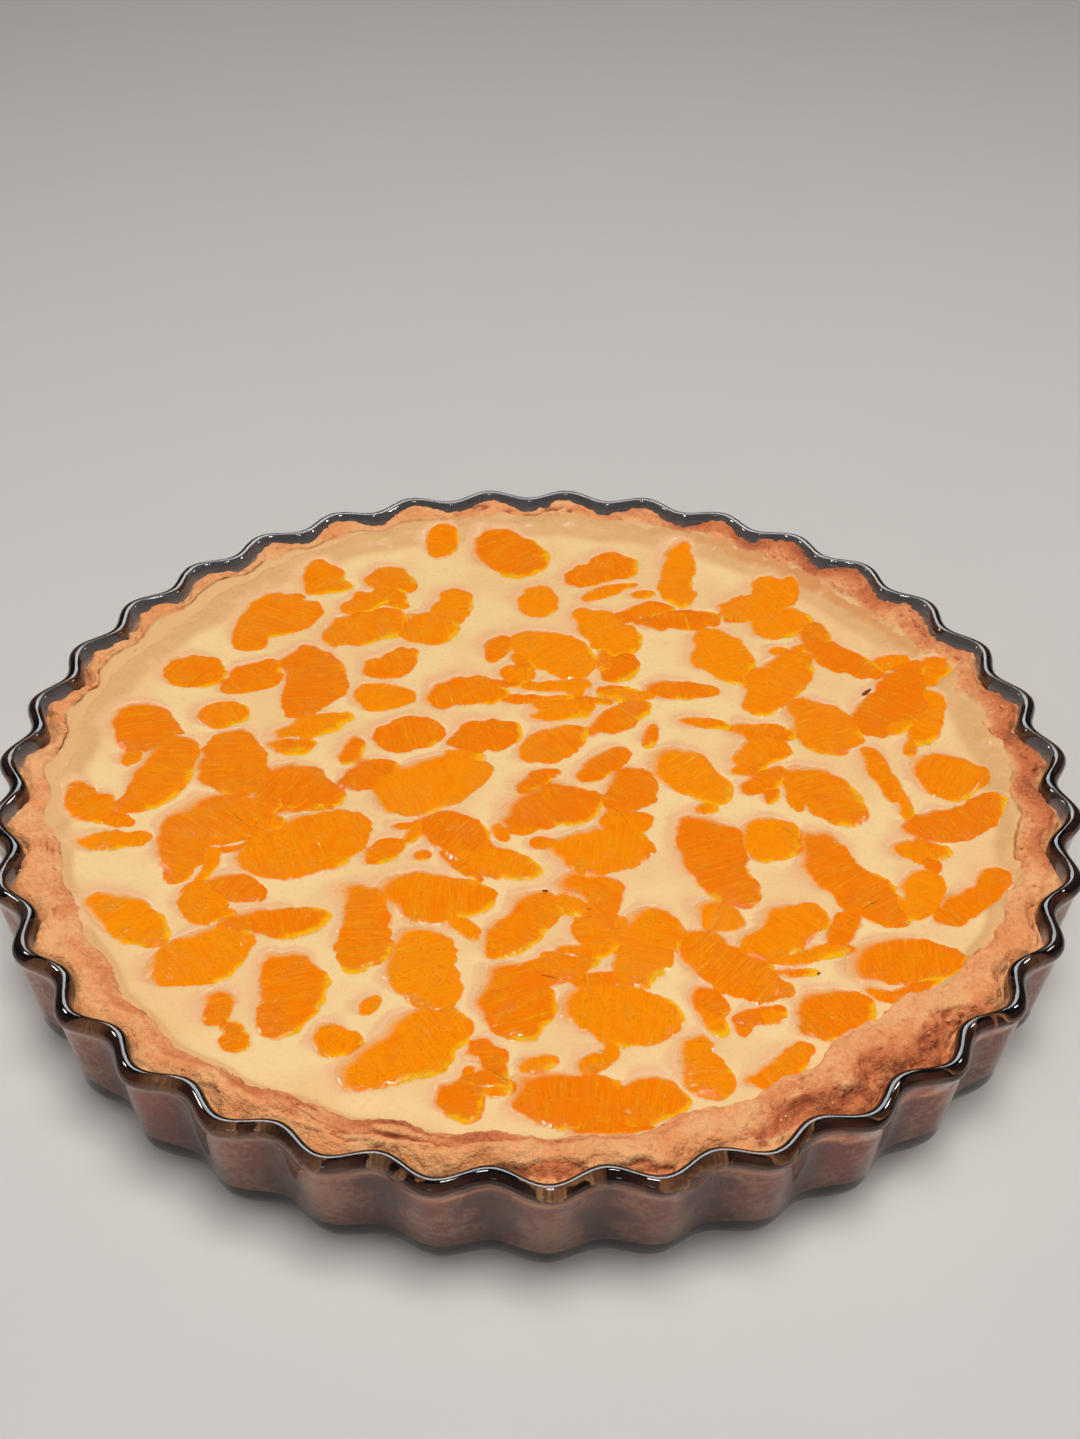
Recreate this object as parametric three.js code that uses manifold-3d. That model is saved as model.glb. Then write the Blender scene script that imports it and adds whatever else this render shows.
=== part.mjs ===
// A mandarin custard pie, baked and served in a fluted glass flan dish.
// Millimetres, +Z up. The origin is the centre of the dish's flat underside, and -Y is the front.
import * as THREE from "three";
import { mergeVertices } from "three/addons/utils/BufferGeometryUtils.js";
import Module from "manifold-3d";

const wasm = await Module();
wasm.setup();

// Glass dish
const DISH_HEIGHT = 34;
const RIM_RADIUS = 134.7; // middle of the rounded rim, at the mean of the flutes
const RIM_THICKNESS = 4.6;
const WALL_THICKNESS = 3.8;
const FLOOR_THICKNESS = 4.6;
const HEEL_RADIUS = 133.1; // outside of the wall, where it turns in to the heel
const HEEL_ROUND = 10;
const FLUTES = 35;
const FLUTE_AT_RIM = 2.3; // half of the depth from a crest to a hollow
const FLUTE_AT_HEEL = 2.0;
const FLUTE_TURN = 0.252; // angle of the first crest from +X, in radians
const STEPS_PER_FLUTE = 6;

// Shortcrust shell
const FIT_GAP = 0.4; // clear space that neighbouring pieces keep
const CRUST_TOP = 32.3;
const CRUST_TOP_SWAY = 0.8;
const CRUST_WALL_TOP = 29.3; // where the pressed wall ends and the rounded edge begins
const CRUST_OUTER_EDGE = 128.8;
const CRUST_INNER_EDGE = 124;
const CRUST_FLOOR_TOP = 10;
const CRUST_FLOOR_RADIUS = 112;
const CRAG_SIZE = 0.7; // broken edge of the baked crust, out of true by up to this much

// Set custard
const CUSTARD_LEVEL = 29;
const CUSTARD_RADIUS = 121.3;
const CUSTARD_STEPS_PER_FLUTE = 3;
const CUSTARD_GAP = 0.7; // the custard has fewer steps round its edge, so it keeps a wider gap

// Mandarin segments
const SEGMENT_SINK = 7;
const SEGMENT_RISE = 1.4; // mean height of a segment's back over its widest line
const SEGMENT_RISE_SWAY = 0.4;
const SEGMENT_SIDES = 10;
const SEGMENT_ROWS = 4;
const SCRAP_RISE = 0.9;
const SCRAP_SIDES = 7;
const SCRAP_ROWS = 2;

// Whole segments: x, y, turn of the long axis in degrees, length, width, and how far the spine arches to
// the left of that axis. Each is a solid of its own.
const SEGMENTS = [
  [-9, 108.5, 125, 26, 17, 0],
  [-76, 72.5, 45, 33, 15, 7],
  [-50, 69, 22, 26, 13, 0],
  [-63, 43.5, 88, 33, 15, -5],
  [-19, 38.5, 5, 24, 11, 3],
  [-105, 22.5, -40, 22, 15, 0],
  [-98.5, 2.5, 80, 31, 14, -3],
  [-80.5, 7.5, 105, 30, 17, 0],
  [-61.5, -3.5, -25, 24, 18, 0],
  [-27, 0.5, 33, 34, 18, 2],
  [4, 58, -38, 26, 16, 2],
  [18, 101, 33, 25, 12, 1],
  [40, 97.5, 86, 30, 9, 3],
  [63, 86, 48, 27, 16, 0],
  [70.5, 74, 30, 20, 12, 0],
  [19, 69, -55, 26, 15, 1],
  [51.5, 57, 115, 29, 15, 0],
  [66.5, 46.5, 55, 30, 15, -1],
  [84.5, 59, -45, 28, 11, -2],
  [96.5, 37, 62, 33, 14, 0],
  [76.5, 26.5, 120, 26, 16, 0],
  [74.5, -2.5, 122, 28, 14, 0],
  [40, 4.5, 128, 27, 12, 0],
  [4, 17.5, 40, 20, 12, 0],
  [25, -1.5, 70, 20, 12, 0],
  [4, -9.5, 25, 28, 14, 2],
  [108, 6, -25, 20, 14, 0],
  [107, -11.5, 30, 29, 12, -2],
  [-82.5, -20.5, 48, 38, 15, 11],
  [-57.5, -24.5, 25, 35, 18, -2],
  [-61.5, -51.5, 5, 22, 10, 0],
  [-97, -53.5, 142, 24, 12, 0],
  [-78.5, -64.5, 33, 27, 15, 0],
  [-57.5, -77, 97, 28, 15, -4],
  [-42.5, -54, 95, 30, 12, -2],
  [-25, -42.5, -5, 27, 14, -2],
  [-21, -18.5, -40, 20, 13, 0],
  [-11, -29.5, -28, 25, 10, -2],
  [-26, -68, 110, 31, 16, 3],
  [-4.5, -52, 55, 26, 12, 1],
  [-4, -78, 100, 26, 16, 0],
  [-29, -94, 36, 33, 16, 2],
  [16, -25, -3, 26, 14, -1],
  [45, -28.5, 118, 34, 16, 0],
  [59.5, -20.5, 0, 16, 14, 0],
  [77.5, -34.5, 122, 41, 15, 2],
  [105.5, -40.5, 52, 27, 9, -1],
  [60.5, -52, 40, 22, 14, 0],
  [26, -60, 75, 28, 14, 0],
  [46, -65, 138, 32, 15, 1],
  [85, -64, 0, 28, 14, 2],
  [20, -82, -15, 29, 17, 0],
  [68, -80.5, 10, 20, 14, 0],
  [7, -107, -8, 27, 14, -1],
  [-32, 69, -20, 17, 14, 0],
  [-78.5, 44.5, 35, 21, 11, 0],
  [-62.5, 91.5, -50, 17, 13, 0],
];

// Torn pieces, with the same columns. They are one with the custard they are baked into.
const TORN = [
  [-95.5, 47, 15, 17, 13, 0],
  [14, -52, 120, 17, 13, 0],
  [6, -65.5, 28, 24, 9, 0],
  [14, -40, -20, 18, 12, 1],
  [-35, 20.5, 0, 18, 12, 0],
  [-14, 21.5, 15, 18, 12, 0],
  [-16, -106, 100, 19, 11, 0],
  [105, 30, 78, 25, 8, -2],
  [-45, 94, 80, 17, 12, 0],
  [-43, 37.5, -5, 18, 11, 0],
  [41, 75, 8, 24, 8, 0],
  [-80.5, -47, 120, 16, 12, 0],
  [-109, -12, 142, 19, 9, 0],
  [39, -97, -65, 17, 11, 0],
  [58.5, 14.5, 25, 17, 11, 0],
  [-42, 52, 35, 18, 10, 0],
  [101.5, 48.5, 40, 13, 7, 0],
  [21.5, 28, 38, 22, 8, 0],
  [-26, 79, 75, 19, 9, -1],
  [-60, 23, 22, 24, 7, 1],
  [27, -107, -10, 15, 11, 0],
  [54, -96, 38, 19, 7, 0],
  [0, 84, 90, 14, 11, 0],
  [-44, 4, 35, 17, 9, 0],
  [94.5, -40, 80, 17, 9, 0],
  [-10.5, -99, 110, 19, 8, 0],
  [-50, 83, 35, 16, 9, 0],
  [18, 9, 50, 18, 8, 0],
  [40, 41, -3, 20, 7, 0],
  [60, 23.5, -5, 20, 7, 0],
  [90.5, 5.5, 105, 22, 6, 0],
  [22, 52, 80, 13, 10, 0],
  [-29.5, 110.5, 80, 13, 8, 0],
  [-85.5, 28.5, 0, 14, 9, 0],
  [-72.5, -40, -15, 15, 8, 0],
  [23, -14.5, 0, 12, 10, 0],
  [7, 33, 0, 17, 7, 0],
  [-106.5, -25, 10, 17, 6, 0],
  [9, 42.5, -20, 14, 8, 0],
  [-65.5, 14.5, -10, 13, 8, 0],
  [59, 2.5, 40, 14, 7, 0],
  [-38, -27.5, 40, 12, 8, 0],
  [-45.5, -91, 0, 12, 8, 0],
  [95.5, -23.5, -5, 16, 6, 0],
  [44, -47.5, -15, 11, 8, 0],
  [-72.5, -80, 100, 14, 6, 0],
  [-68.5, -90, -50, 12, 5, 0],
  [17, -113.5, 2, 20, 4, 0],
  [14, -95, 45, 12, 7, 0],
  [22, 39.5, 0, 16, 5, 0],
  [-11.5, 59.5, 75, 13, 6, 0],
  [32.5, 80, 10, 13, 6, 0],
  [20, 89.5, 33, 17, 4.5, 0],
  [40.5, -78, -50, 11, 7, 0],
  [-49, 13.5, 80, 12, 6, 0],
  [73.5, -52, 65, 14, 5, 0],
  [-5.5, 48, 0, 9, 7, 0],
  [51, -82, 20, 12, 5, 0],
  [98.5, 55, 0, 11, 5, 0],
];

const glass = new THREE.MeshStandardMaterial({
  color: 0xc9cdcc,
  roughness: 0.05,
  transparent: true,
  opacity: 0.35,
});
const pastry = new THREE.MeshStandardMaterial({ color: 0xe0ab74, roughness: 0.85 });
const custard = new THREE.MeshStandardMaterial({ color: 0xf0d08a, roughness: 0.4 });
const mandarin = new THREE.MeshStandardMaterial({ color: 0xfb8c0a, roughness: 0.3 });

const radians = THREE.MathUtils.degToRad;
const { mapLinear } = THREE.MathUtils;

// A closed solid from a geometry whose seams meet point to point.
function solidOf(geometry) {
  geometry.deleteAttribute("normal");
  geometry.deleteAttribute("uv");
  const merged = mergeVertices(geometry, 1e-3);
  const corners = merged.index.array;
  const kept = [];
  for (let i = 0; i < corners.length; i += 3) {
    const [a, b, c] = corners.slice(i, i + 3);
    if (a !== b && b !== c && c !== a) kept.push(a, b, c);
  }
  return new wasm.Manifold(
    new wasm.Mesh({
      numProp: 3,
      vertProperties: merged.getAttribute("position").array,
      triVerts: new Uint32Array(kept),
    }),
  );
}

// The largest body of a solid, without the loose crumbs that a cut leaves.
function largestBody(solid) {
  return solid.decompose().reduce((best, body) => (body.volume() > best.volume() ? body : best));
}

function meshOf(name, solid, material) {
  const { vertProperties, triVerts } = solid.getMesh();
  const geometry = new THREE.BufferGeometry();
  geometry.setAttribute("position", new THREE.BufferAttribute(vertProperties, 3));
  geometry.setIndex(new THREE.BufferAttribute(triVerts, 1));
  geometry.computeVertexNormals();
  const mesh = new THREE.Mesh(geometry, material);
  mesh.name = name;
  return mesh;
}

// A lathe-turned solid whose rings wander: each ring is a function that gives [radius, height] at an angle.
// The rings run from the underside, out and up, to the top, and both ends close on the axis.
function turned(rings, stepsPerFlute) {
  const columns = FLUTES * stepsPerFlute;
  const outline = rings.map((ring) => new THREE.Vector2(...ring(0)));
  outline.unshift(new THREE.Vector2(0, outline[0].y));
  outline.push(new THREE.Vector2(0, outline.at(-1).y));
  const geometry = new THREE.LatheGeometry(outline, columns);
  const position = geometry.getAttribute("position");
  for (let i = 0; i < position.count; i++) {
    const column = Math.floor(i / outline.length) % columns;
    const ring = rings[(i % outline.length) - 1];
    const angle = FLUTE_TURN + (2 * Math.PI * column) / columns;
    const [radius, height] = ring ? ring(angle) : [0, position.getY(i)];
    position.setXYZ(i, radius * Math.cos(angle), radius * Math.sin(angle), height);
  }
  return solidOf(geometry);
}

// 1 on the crests of the flutes and -1 in their hollows.
function flute(angle) {
  return Math.cos(FLUTES * (angle - FLUTE_TURN));
}

// A smooth swell round one direction, from 0 to 1.
function swell(angle, centreDegrees, spreadDegrees) {
  const turn = angle - radians(centreDegrees);
  const away = Math.atan2(Math.sin(turn), Math.cos(turn));
  return Math.exp(-((away / radians(spreadDegrees)) ** 2));
}

// Hand-pressed unevenness, between about -1 and 1.
function sway(angle, shift) {
  return (
    0.4 * Math.sin(3 * angle + shift) +
    0.3 * Math.sin(7 * angle + 2.1 * shift) +
    0.3 * Math.sin(16 * angle + 3.7 * shift)
  );
}

// Crumbling unevenness from one step to the next, seeded, between -CRAG_SIZE and CRAG_SIZE.
function crag(angle, seed) {
  const step = Math.round((angle * FLUTES * STEPS_PER_FLUTE) / (2 * Math.PI));
  const scrambled = Math.sin(step * 12.9898 + seed * 78.233) * 43758.5453;
  return CRAG_SIZE * (2 * (scrambled - Math.floor(scrambled)) - 1);
}

const rimRound = RIM_THICKNESS / 2;
const rimMiddle = DISH_HEIGHT - rimRound;
const innerHeel = HEEL_RADIUS - WALL_THICKNESS;
const innerHeelHeight = HEEL_ROUND + 1;
const floorRadius = HEEL_RADIUS - HEEL_ROUND;

// Inside of the glass wall at a height, at the mean of the flutes.
function glassInside(height) {
  return mapLinear(height, innerHeelHeight, rimMiddle, innerHeel, RIM_RADIUS - rimRound);
}

function dishSolid() {
  const ring = (radius, height, depth) => (angle) => [radius + depth * flute(angle), height];
  const slant = Math.SQRT1_2;
  return turned(
    [
      ring(floorRadius, 0, 0),
      ring(floorRadius + HEEL_ROUND * slant, HEEL_ROUND * (1 - slant), FLUTE_AT_HEEL * slant),
      ring(HEEL_RADIUS, HEEL_ROUND, FLUTE_AT_HEEL),
      ring(RIM_RADIUS + rimRound, rimMiddle, FLUTE_AT_RIM),
      ring(RIM_RADIUS, DISH_HEIGHT, FLUTE_AT_RIM),
      ring(RIM_RADIUS - rimRound, rimMiddle, FLUTE_AT_RIM),
      ring(innerHeel, innerHeelHeight, FLUTE_AT_HEEL),
      ring(floorRadius, FLOOR_THICKNESS, 0),
    ],
    STEPS_PER_FLUTE,
  );
}

// The baked edge is heaped inward at the front, and most of all at the front right.
function crustHeap(angle) {
  return 8 * swell(angle, -48, 12) + 5 * swell(angle, -75, 25);
}

// Elsewhere the wall is pressed thicker or thinner by hand.
function crustPressing(angle) {
  return (
    1.5 * swell(angle, -152, 12) -
    1.5 * swell(angle, -130, 9) -
    2 * swell(angle, 90, 30) +
    3 * swell(angle, 145, 14) +
    1.5 * swell(angle, 40, 12) +
    2.5 * swell(angle, 180, 14)
  );
}

// At the front the baked edge has drawn back from the glass.
function crustShrinkage(angle) {
  return 5.5 * swell(angle, -52, 15) + 2 * swell(angle, -95, 20);
}

// Radius of the crust's inside where the custard's surface meets it.
function custardEdge(angle) {
  const thickness = 0.45 * crustHeap(angle) + crustPressing(angle);
  return CUSTARD_RADIUS - thickness + 0.6 * flute(angle);
}

function crustSolid() {
  const wallTop = (angle) => CRUST_WALL_TOP - 0.7 * crustShrinkage(angle) + 0.5 * sway(angle, 2);
  const top = (angle) => CRUST_TOP + CRUST_TOP_SWAY * sway(angle, 1);
  return turned(
    [
      () => [floorRadius - 3 * FIT_GAP, FLOOR_THICKNESS + FIT_GAP],
      (angle) => [innerHeel - FIT_GAP + FLUTE_AT_HEEL * flute(angle), innerHeelHeight + FIT_GAP],
      (angle) => {
        const height = wallTop(angle);
        return [glassInside(height) - FIT_GAP + FLUTE_AT_RIM * flute(angle), height];
      },
      (angle) => {
        const radius = CRUST_OUTER_EDGE - crustShrinkage(angle) + 0.5 * sway(angle, 3);
        return [radius + 1.7 * flute(angle) + crag(angle, 1), top(angle) + crag(angle, 2)];
      },
      (angle) => {
        const radius = CRUST_INNER_EDGE - crustHeap(angle) - crustPressing(angle);
        return [radius + flute(angle) + crag(angle, 3), top(angle) - 0.6 + 0.6 * crag(angle, 4)];
      },
      (angle) => [custardEdge(angle), CUSTARD_LEVEL],
      () => [CRUST_FLOOR_RADIUS, CRUST_FLOOR_TOP],
    ],
    STEPS_PER_FLUTE,
  );
}

// A piece of fruit: a sphere drawn out to its length and width and arched along its spine, lying in the
// custard with its widest line at the surface. Growing it makes room for it in its neighbours.
function fruitSolid([x, y, turn, length, width, arch], rise, sides, rows, grow = 0) {
  const geometry = new THREE.SphereGeometry(1, sides, rows);
  geometry.rotateX(Math.PI / 2);
  const position = geometry.getAttribute("position");
  for (let i = 0; i < position.count; i++) {
    const [along, across, up] = [position.getX(i), position.getY(i), position.getZ(i)];
    const spine = arch * (0.5 - along * along);
    position.setXYZ(
      i,
      along * (length / 2 + grow),
      across * (width / 2 + grow) + spine,
      up * ((up > 0 ? rise : SEGMENT_SINK) + grow),
    );
  }
  geometry.rotateZ(radians(turn));
  geometry.translate(x, y, CUSTARD_LEVEL);
  return solidOf(geometry);
}

function segmentSolid(row, number, grow) {
  const rise = SEGMENT_RISE + SEGMENT_RISE_SWAY * Math.sin(2.4 * number);
  return fruitSolid(row, rise, SEGMENT_SIDES, SEGMENT_ROWS, grow);
}

function custardBody() {
  const edge = (angle) => [custardEdge(angle) - CUSTARD_GAP, CUSTARD_LEVEL];
  const foot = () => [CRUST_FLOOR_RADIUS - CUSTARD_GAP, CRUST_FLOOR_TOP + FIT_GAP];
  return turned([foot, edge], CUSTARD_STEPS_PER_FLUTE);
}

const pie = new THREE.Group();
pie.add(meshOf("dish", dishSolid(), glass));
pie.add(meshOf("crust", crustSolid(), pastry));

// Whole segments, the largest first. Where two touch, the later one is cut back from the earlier.
const bySize = [...SEGMENTS].sort((a, b) => b[3] * b[4] - a[3] * a[4]);
const pockets = [];
bySize.forEach((row, number) => {
  let segment = segmentSolid(row, number);
  for (const pocket of pockets) segment = segment.subtract(pocket);
  const name = `mandarin_${String(number + 1).padStart(2, "0")}`;
  pie.add(meshOf(name, largestBody(segment), mandarin));
  pockets.push(segmentSolid(row, number, FIT_GAP));
});

// The custard with its torn pieces, and a pocket for every whole segment.
let filling = custardBody();
for (const row of TORN) {
  filling = filling.add(fruitSolid(row, SCRAP_RISE, SCRAP_SIDES, SCRAP_ROWS));
}
for (const pocket of pockets) filling = filling.subtract(pocket);
pie.add(meshOf("filling", largestBody(filling), custard));

export default pie;
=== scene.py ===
"""Mandarin custard pie in a fluted glass flan dish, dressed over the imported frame.

Sizes are in millimetres and become metres where a mesh is made. +Z is up and -Y is the front. Angles round
the dish are counted from +X, and a compass angle in degrees names a place on the crust.
"""

import logging
import math
from dataclasses import dataclass, field
from enum import Enum
from typing import Any, Dict, List, Optional, Sequence, Tuple, Union

import bpy
import numpy as np
from mathutils import Matrix, Vector

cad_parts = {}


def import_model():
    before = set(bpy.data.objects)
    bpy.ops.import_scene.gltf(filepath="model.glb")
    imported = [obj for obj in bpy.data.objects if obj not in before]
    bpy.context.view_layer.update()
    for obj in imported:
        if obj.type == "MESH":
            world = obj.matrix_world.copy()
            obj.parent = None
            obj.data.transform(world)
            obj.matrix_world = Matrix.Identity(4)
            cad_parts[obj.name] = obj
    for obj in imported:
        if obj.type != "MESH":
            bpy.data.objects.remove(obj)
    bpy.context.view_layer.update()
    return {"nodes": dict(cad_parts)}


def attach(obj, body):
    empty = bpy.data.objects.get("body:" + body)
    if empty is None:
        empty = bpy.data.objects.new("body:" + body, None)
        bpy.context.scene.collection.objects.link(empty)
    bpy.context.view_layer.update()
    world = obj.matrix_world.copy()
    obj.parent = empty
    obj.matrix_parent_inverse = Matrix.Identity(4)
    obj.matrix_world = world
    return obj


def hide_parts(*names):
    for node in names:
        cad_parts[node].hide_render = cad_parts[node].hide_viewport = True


LOG = logging.getLogger("mandarin_pie")
MM = 0.001
Colour = Tuple[float, float, float, float]
Value = Union["Term", float, Sequence[float]]


def tone(red: int, green: int, blue: int) -> Colour:
    """Turns a colour as seen on a screen, 0 to 255, into the linear colour that a shader takes."""

    def linear(channel: int) -> float:
        """Takes the screen's curve off one channel."""
        share = channel / 255
        return share / 12.92 if share <= 0.04045 else ((share + 0.055) / 1.055) ** 2.4

    return linear(red), linear(green), linear(blue), 1.0


def grain(points: np.ndarray, size: float, seed: int, octaves: int = 1) -> np.ndarray:
    """Smooth seeded unevenness over space.

    Args:
        points: Places, n x 3, in millimetres.
        size: Length of the largest lumps.
        seed: Picks the pattern.
        octaves: How many layers, each half the size and half the strength of the one before.

    Returns:
        A value between about -1 and 1 for each point.
    """
    total = np.zeros(len(points))
    strength = 1.0
    for layer in range(octaves):
        scaled = points / size * 2**layer
        cell = np.floor(scaled).astype(np.int64)
        part = scaled - cell
        part = part * part * (3 - 2 * part)
        for corner in range(8):
            step = np.array([corner & 1, corner >> 1 & 1, corner >> 2 & 1])
            key = (cell + step) @ np.array([374761393, 668265263, 1442695041])
            key = (key + (seed + layer) * 1274126177) & 0xFFFFFFFF
            key = ((key ^ (key >> 13)) * 1274126177) & 0xFFFFFFFF
            key = ((key ^ (key >> 16)) * 668265263) & 0xFFFFFFFF
            share = np.prod(np.where(step, part, 1 - part), axis=1)
            total += strength * share * ((key >> 8 & 0xFFFF) / 32767.5 - 1)
        strength /= 2
    return total


def ease(low: float, high: float, value: np.ndarray) -> np.ndarray:
    """A smooth step from 0 at low to 1 at high, which may lie either way round."""
    share = np.clip((value - low) / (high - low), 0, 1)
    return share * share * (3 - 2 * share)


def swell(angle: np.ndarray, centre: float, spread: float) -> np.ndarray:
    """A smooth swell from 0 to 1 round one compass angle, with its spread, in degrees."""
    away = angle - math.radians(centre)
    away = np.arctan2(np.sin(away), np.cos(away))
    return np.exp(-((away / math.radians(spread)) ** 2))


def swells(angle: np.ndarray, places: Sequence[Tuple[float, float, float]]) -> np.ndarray:
    """The sum of several swells, each given by its height, its compass angle and its spread."""
    return sum(height * swell(angle, centre, spread) for height, centre, spread in places)


def sway(angle: np.ndarray, shift: float) -> np.ndarray:
    """Hand-pressed unevenness round the pie, between about -1 and 1."""
    return (
        0.4 * np.sin(3 * angle + shift)
        + 0.3 * np.sin(7 * angle + 2.1 * shift)
        + 0.3 * np.sin(16 * angle + 3.7 * shift)
    )


def tube_faces(rows: int, columns: int) -> List[List[int]]:
    """Faces of a tube of rows x columns points that closes on itself, with a cap at each end."""
    row, column = np.mgrid[0 : rows - 1, 0:columns]
    after = (column + 1) % columns
    corners = [row * columns + column, row * columns + after]
    corners += [(row + 1) * columns + after, (row + 1) * columns + column]
    faces = np.stack(corners, axis=-1).reshape(-1, 4).tolist()
    last = (rows - 1) * columns
    return faces + [list(range(columns))[::-1], list(range(last, last + columns))]


def spline(
    before: np.ndarray, first: np.ndarray, second: np.ndarray, after: np.ndarray, share: float
) -> np.ndarray:
    """A place on the smooth curve from the first knot to the second, with the knots beside them."""
    curve = 2 * first + (second - before) * share
    curve = curve + (2 * before - 5 * first + 4 * second - after) * share**2
    curve = curve + (3 * first - before - 3 * second + after) * share**3
    return curve / 2


def points_of(mesh: bpy.types.Mesh) -> np.ndarray:
    """A mesh's points, n x 3, in millimetres."""
    points = np.empty(len(mesh.vertices) * 3)
    mesh.vertices.foreach_get("co", points)
    return points.reshape(-1, 3) / MM


def new_mesh(
    name: str,
    points: np.ndarray,
    faces: List[Sequence[int]],
    marks: Optional[Dict[str, np.ndarray]] = None,
) -> bpy.types.Object:
    """Makes a smooth-shaded object in the scene.

    Args:
        name: The piece's name.
        points: Places, n x 3, in millimetres.
        faces: Corner numbers of each face.
        marks: Named values, one for each point, that the finish reads.

    Returns:
        The object, at the origin.
    """
    mesh = bpy.data.meshes.new(name)
    mesh.from_pydata((points * MM).tolist(), [], faces)
    for mark, values in (marks or {}).items():
        if values.ndim == 1:
            layer = mesh.attributes.new(mark, "FLOAT", "POINT")
            layer.data.foreach_set("value", values.astype(np.float32))
        else:
            layer = mesh.attributes.new(mark, "FLOAT_VECTOR", "POINT")
            layer.data.foreach_set("vector", values.astype(np.float32).ravel())
    mesh.shade_smooth()
    mesh.update()
    piece = bpy.data.objects.new(name, mesh)
    bpy.context.scene.collection.objects.link(piece)
    return piece


class Term:
    """A node's output that takes part in plain Python sums."""

    def __init__(self, graph: "Graph", socket: bpy.types.NodeSocket) -> None:
        """Keeps the socket and the graph that it belongs to."""
        self.graph = graph
        self.socket = socket

    def _math(self, operation: str, first: Value, second: Value) -> "Term":
        """Adds one Math node."""
        return self.graph.node("ShaderNodeMath", {"operation": operation}, {0: first, 1: second})

    def __add__(self, other: Value) -> "Term":
        """The sum of the two."""
        return self._math("ADD", self, other)

    def __radd__(self, other: Value) -> "Term":
        """The sum of the two."""
        return self._math("ADD", other, self)

    def __sub__(self, other: Value) -> "Term":
        """The difference of the two."""
        return self._math("SUBTRACT", self, other)

    def __rsub__(self, other: Value) -> "Term":
        """The difference of the two."""
        return self._math("SUBTRACT", other, self)

    def __mul__(self, other: Value) -> "Term":
        """The product of the two."""
        return self._math("MULTIPLY", self, other)

    def __rmul__(self, other: Value) -> "Term":
        """The product of the two."""
        return self._math("MULTIPLY", other, self)

    def between(self, low: float, high: float) -> "Term":
        """A smooth step from 0 at low to 1 at high."""
        sockets = {"Value": self, "From Min": low, "From Max": high}
        return self.graph.node("ShaderNodeMapRange", {"interpolation_type": "SMOOTHSTEP"}, sockets)


class Graph:
    """A node tree that is written as Python expressions."""

    def __init__(self, tree: bpy.types.NodeTree) -> None:
        """Starts on a tree with no nodes in it."""
        self.tree = tree
        tree.nodes.clear()

    def node(
        self,
        kind: str,
        settings: Optional[Dict[str, Any]] = None,
        sockets: Optional[Dict[Union[str, int], Any]] = None,
        output: Union[str, int] = 0,
    ) -> Term:
        """Adds one node.

        Args:
            kind: The node's type.
            settings: Its own settings, and a ramp's stops as (place, colour) pairs.
            sockets: The value or link of each input, by name or number.
            output: The output that is wanted.

        Returns:
            That output.
        """
        made = self.tree.nodes.new(kind)
        for name, setting in (settings or {}).items():
            if name == "stops":
                self._fill_ramp(made.color_ramp, setting)
            else:
                setattr(made, name, setting)
        for key, value in (sockets or {}).items():
            if isinstance(value, Term):
                self.tree.links.new(value.socket, made.inputs[key])
            else:
                made.inputs[key].default_value = value
        return Term(self, made.outputs[output] if len(made.outputs) else None)

    @staticmethod
    def _fill_ramp(ramp: bpy.types.ColorRamp, stops: Sequence[Tuple[float, Colour]]) -> None:
        """Gives a colour ramp its stops."""
        while len(ramp.elements) > 1:
            ramp.elements.remove(ramp.elements[-1])
        for number, (place, colour) in enumerate(stops):
            stop = ramp.elements[0] if number == 0 else ramp.elements.new(place)
            stop.position = place
            stop.color = colour

    def mix(self, first: Value, second: Value, share: Value) -> Term:
        """A colour between two, by its share of the second."""
        return self.node("ShaderNodeMix", {"data_type": "RGBA"}, {0: share, 6: first, 7: second}, 2)

    def mark(self, name: str) -> Term:
        """A value that the mesh carries at each point."""
        return self.node("ShaderNodeAttribute", {"attribute_name": name}, {}, "Fac")

    def place(self) -> Term:
        """The place on the piece, in metres."""
        return self.node("ShaderNodeTexCoord", {}, {}, "Object")

    def cloud(self, at: Term, size: float, detail: float = 2.0, rough: float = 0.5) -> Term:
        """Noise from 0 to 1 whose lumps are about that many millimetres long."""
        sockets = {"Vector": at, "Scale": 1 / (size * MM), "Detail": detail, "Roughness": rough}
        return self.node("ShaderNodeTexNoise", {}, sockets, 0)

    def bump(self, height: Term, depth: float, strength: float, under: Optional[Term] = None) -> Term:
        """A normal from a height between 0 and 1, for a depth in millimetres."""
        sockets: Dict[Union[str, int], Any] = {"Height": height, "Distance": depth * MM}
        sockets["Strength"] = strength
        if under is not None:
            sockets["Normal"] = under
        return self.node("ShaderNodeBump", {}, sockets)


class MaterialGraph(Graph):
    """A material whose one surface shader is a Principled shader."""

    def __init__(self, name: str) -> None:
        """Makes a material of that name."""
        self.material = bpy.data.materials.new(name)
        self.material.use_nodes = True
        super().__init__(self.material.node_tree)

    def finish(self, sockets: Dict[Union[str, int], Any]) -> bpy.types.Material:
        """Adds the shader with the values or links of its sockets, and returns the material."""
        shader = self.node("ShaderNodeBsdfPrincipled", {}, sockets)
        self.node("ShaderNodeOutputMaterial", {}, {"Surface": shader})
        return self.material


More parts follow.
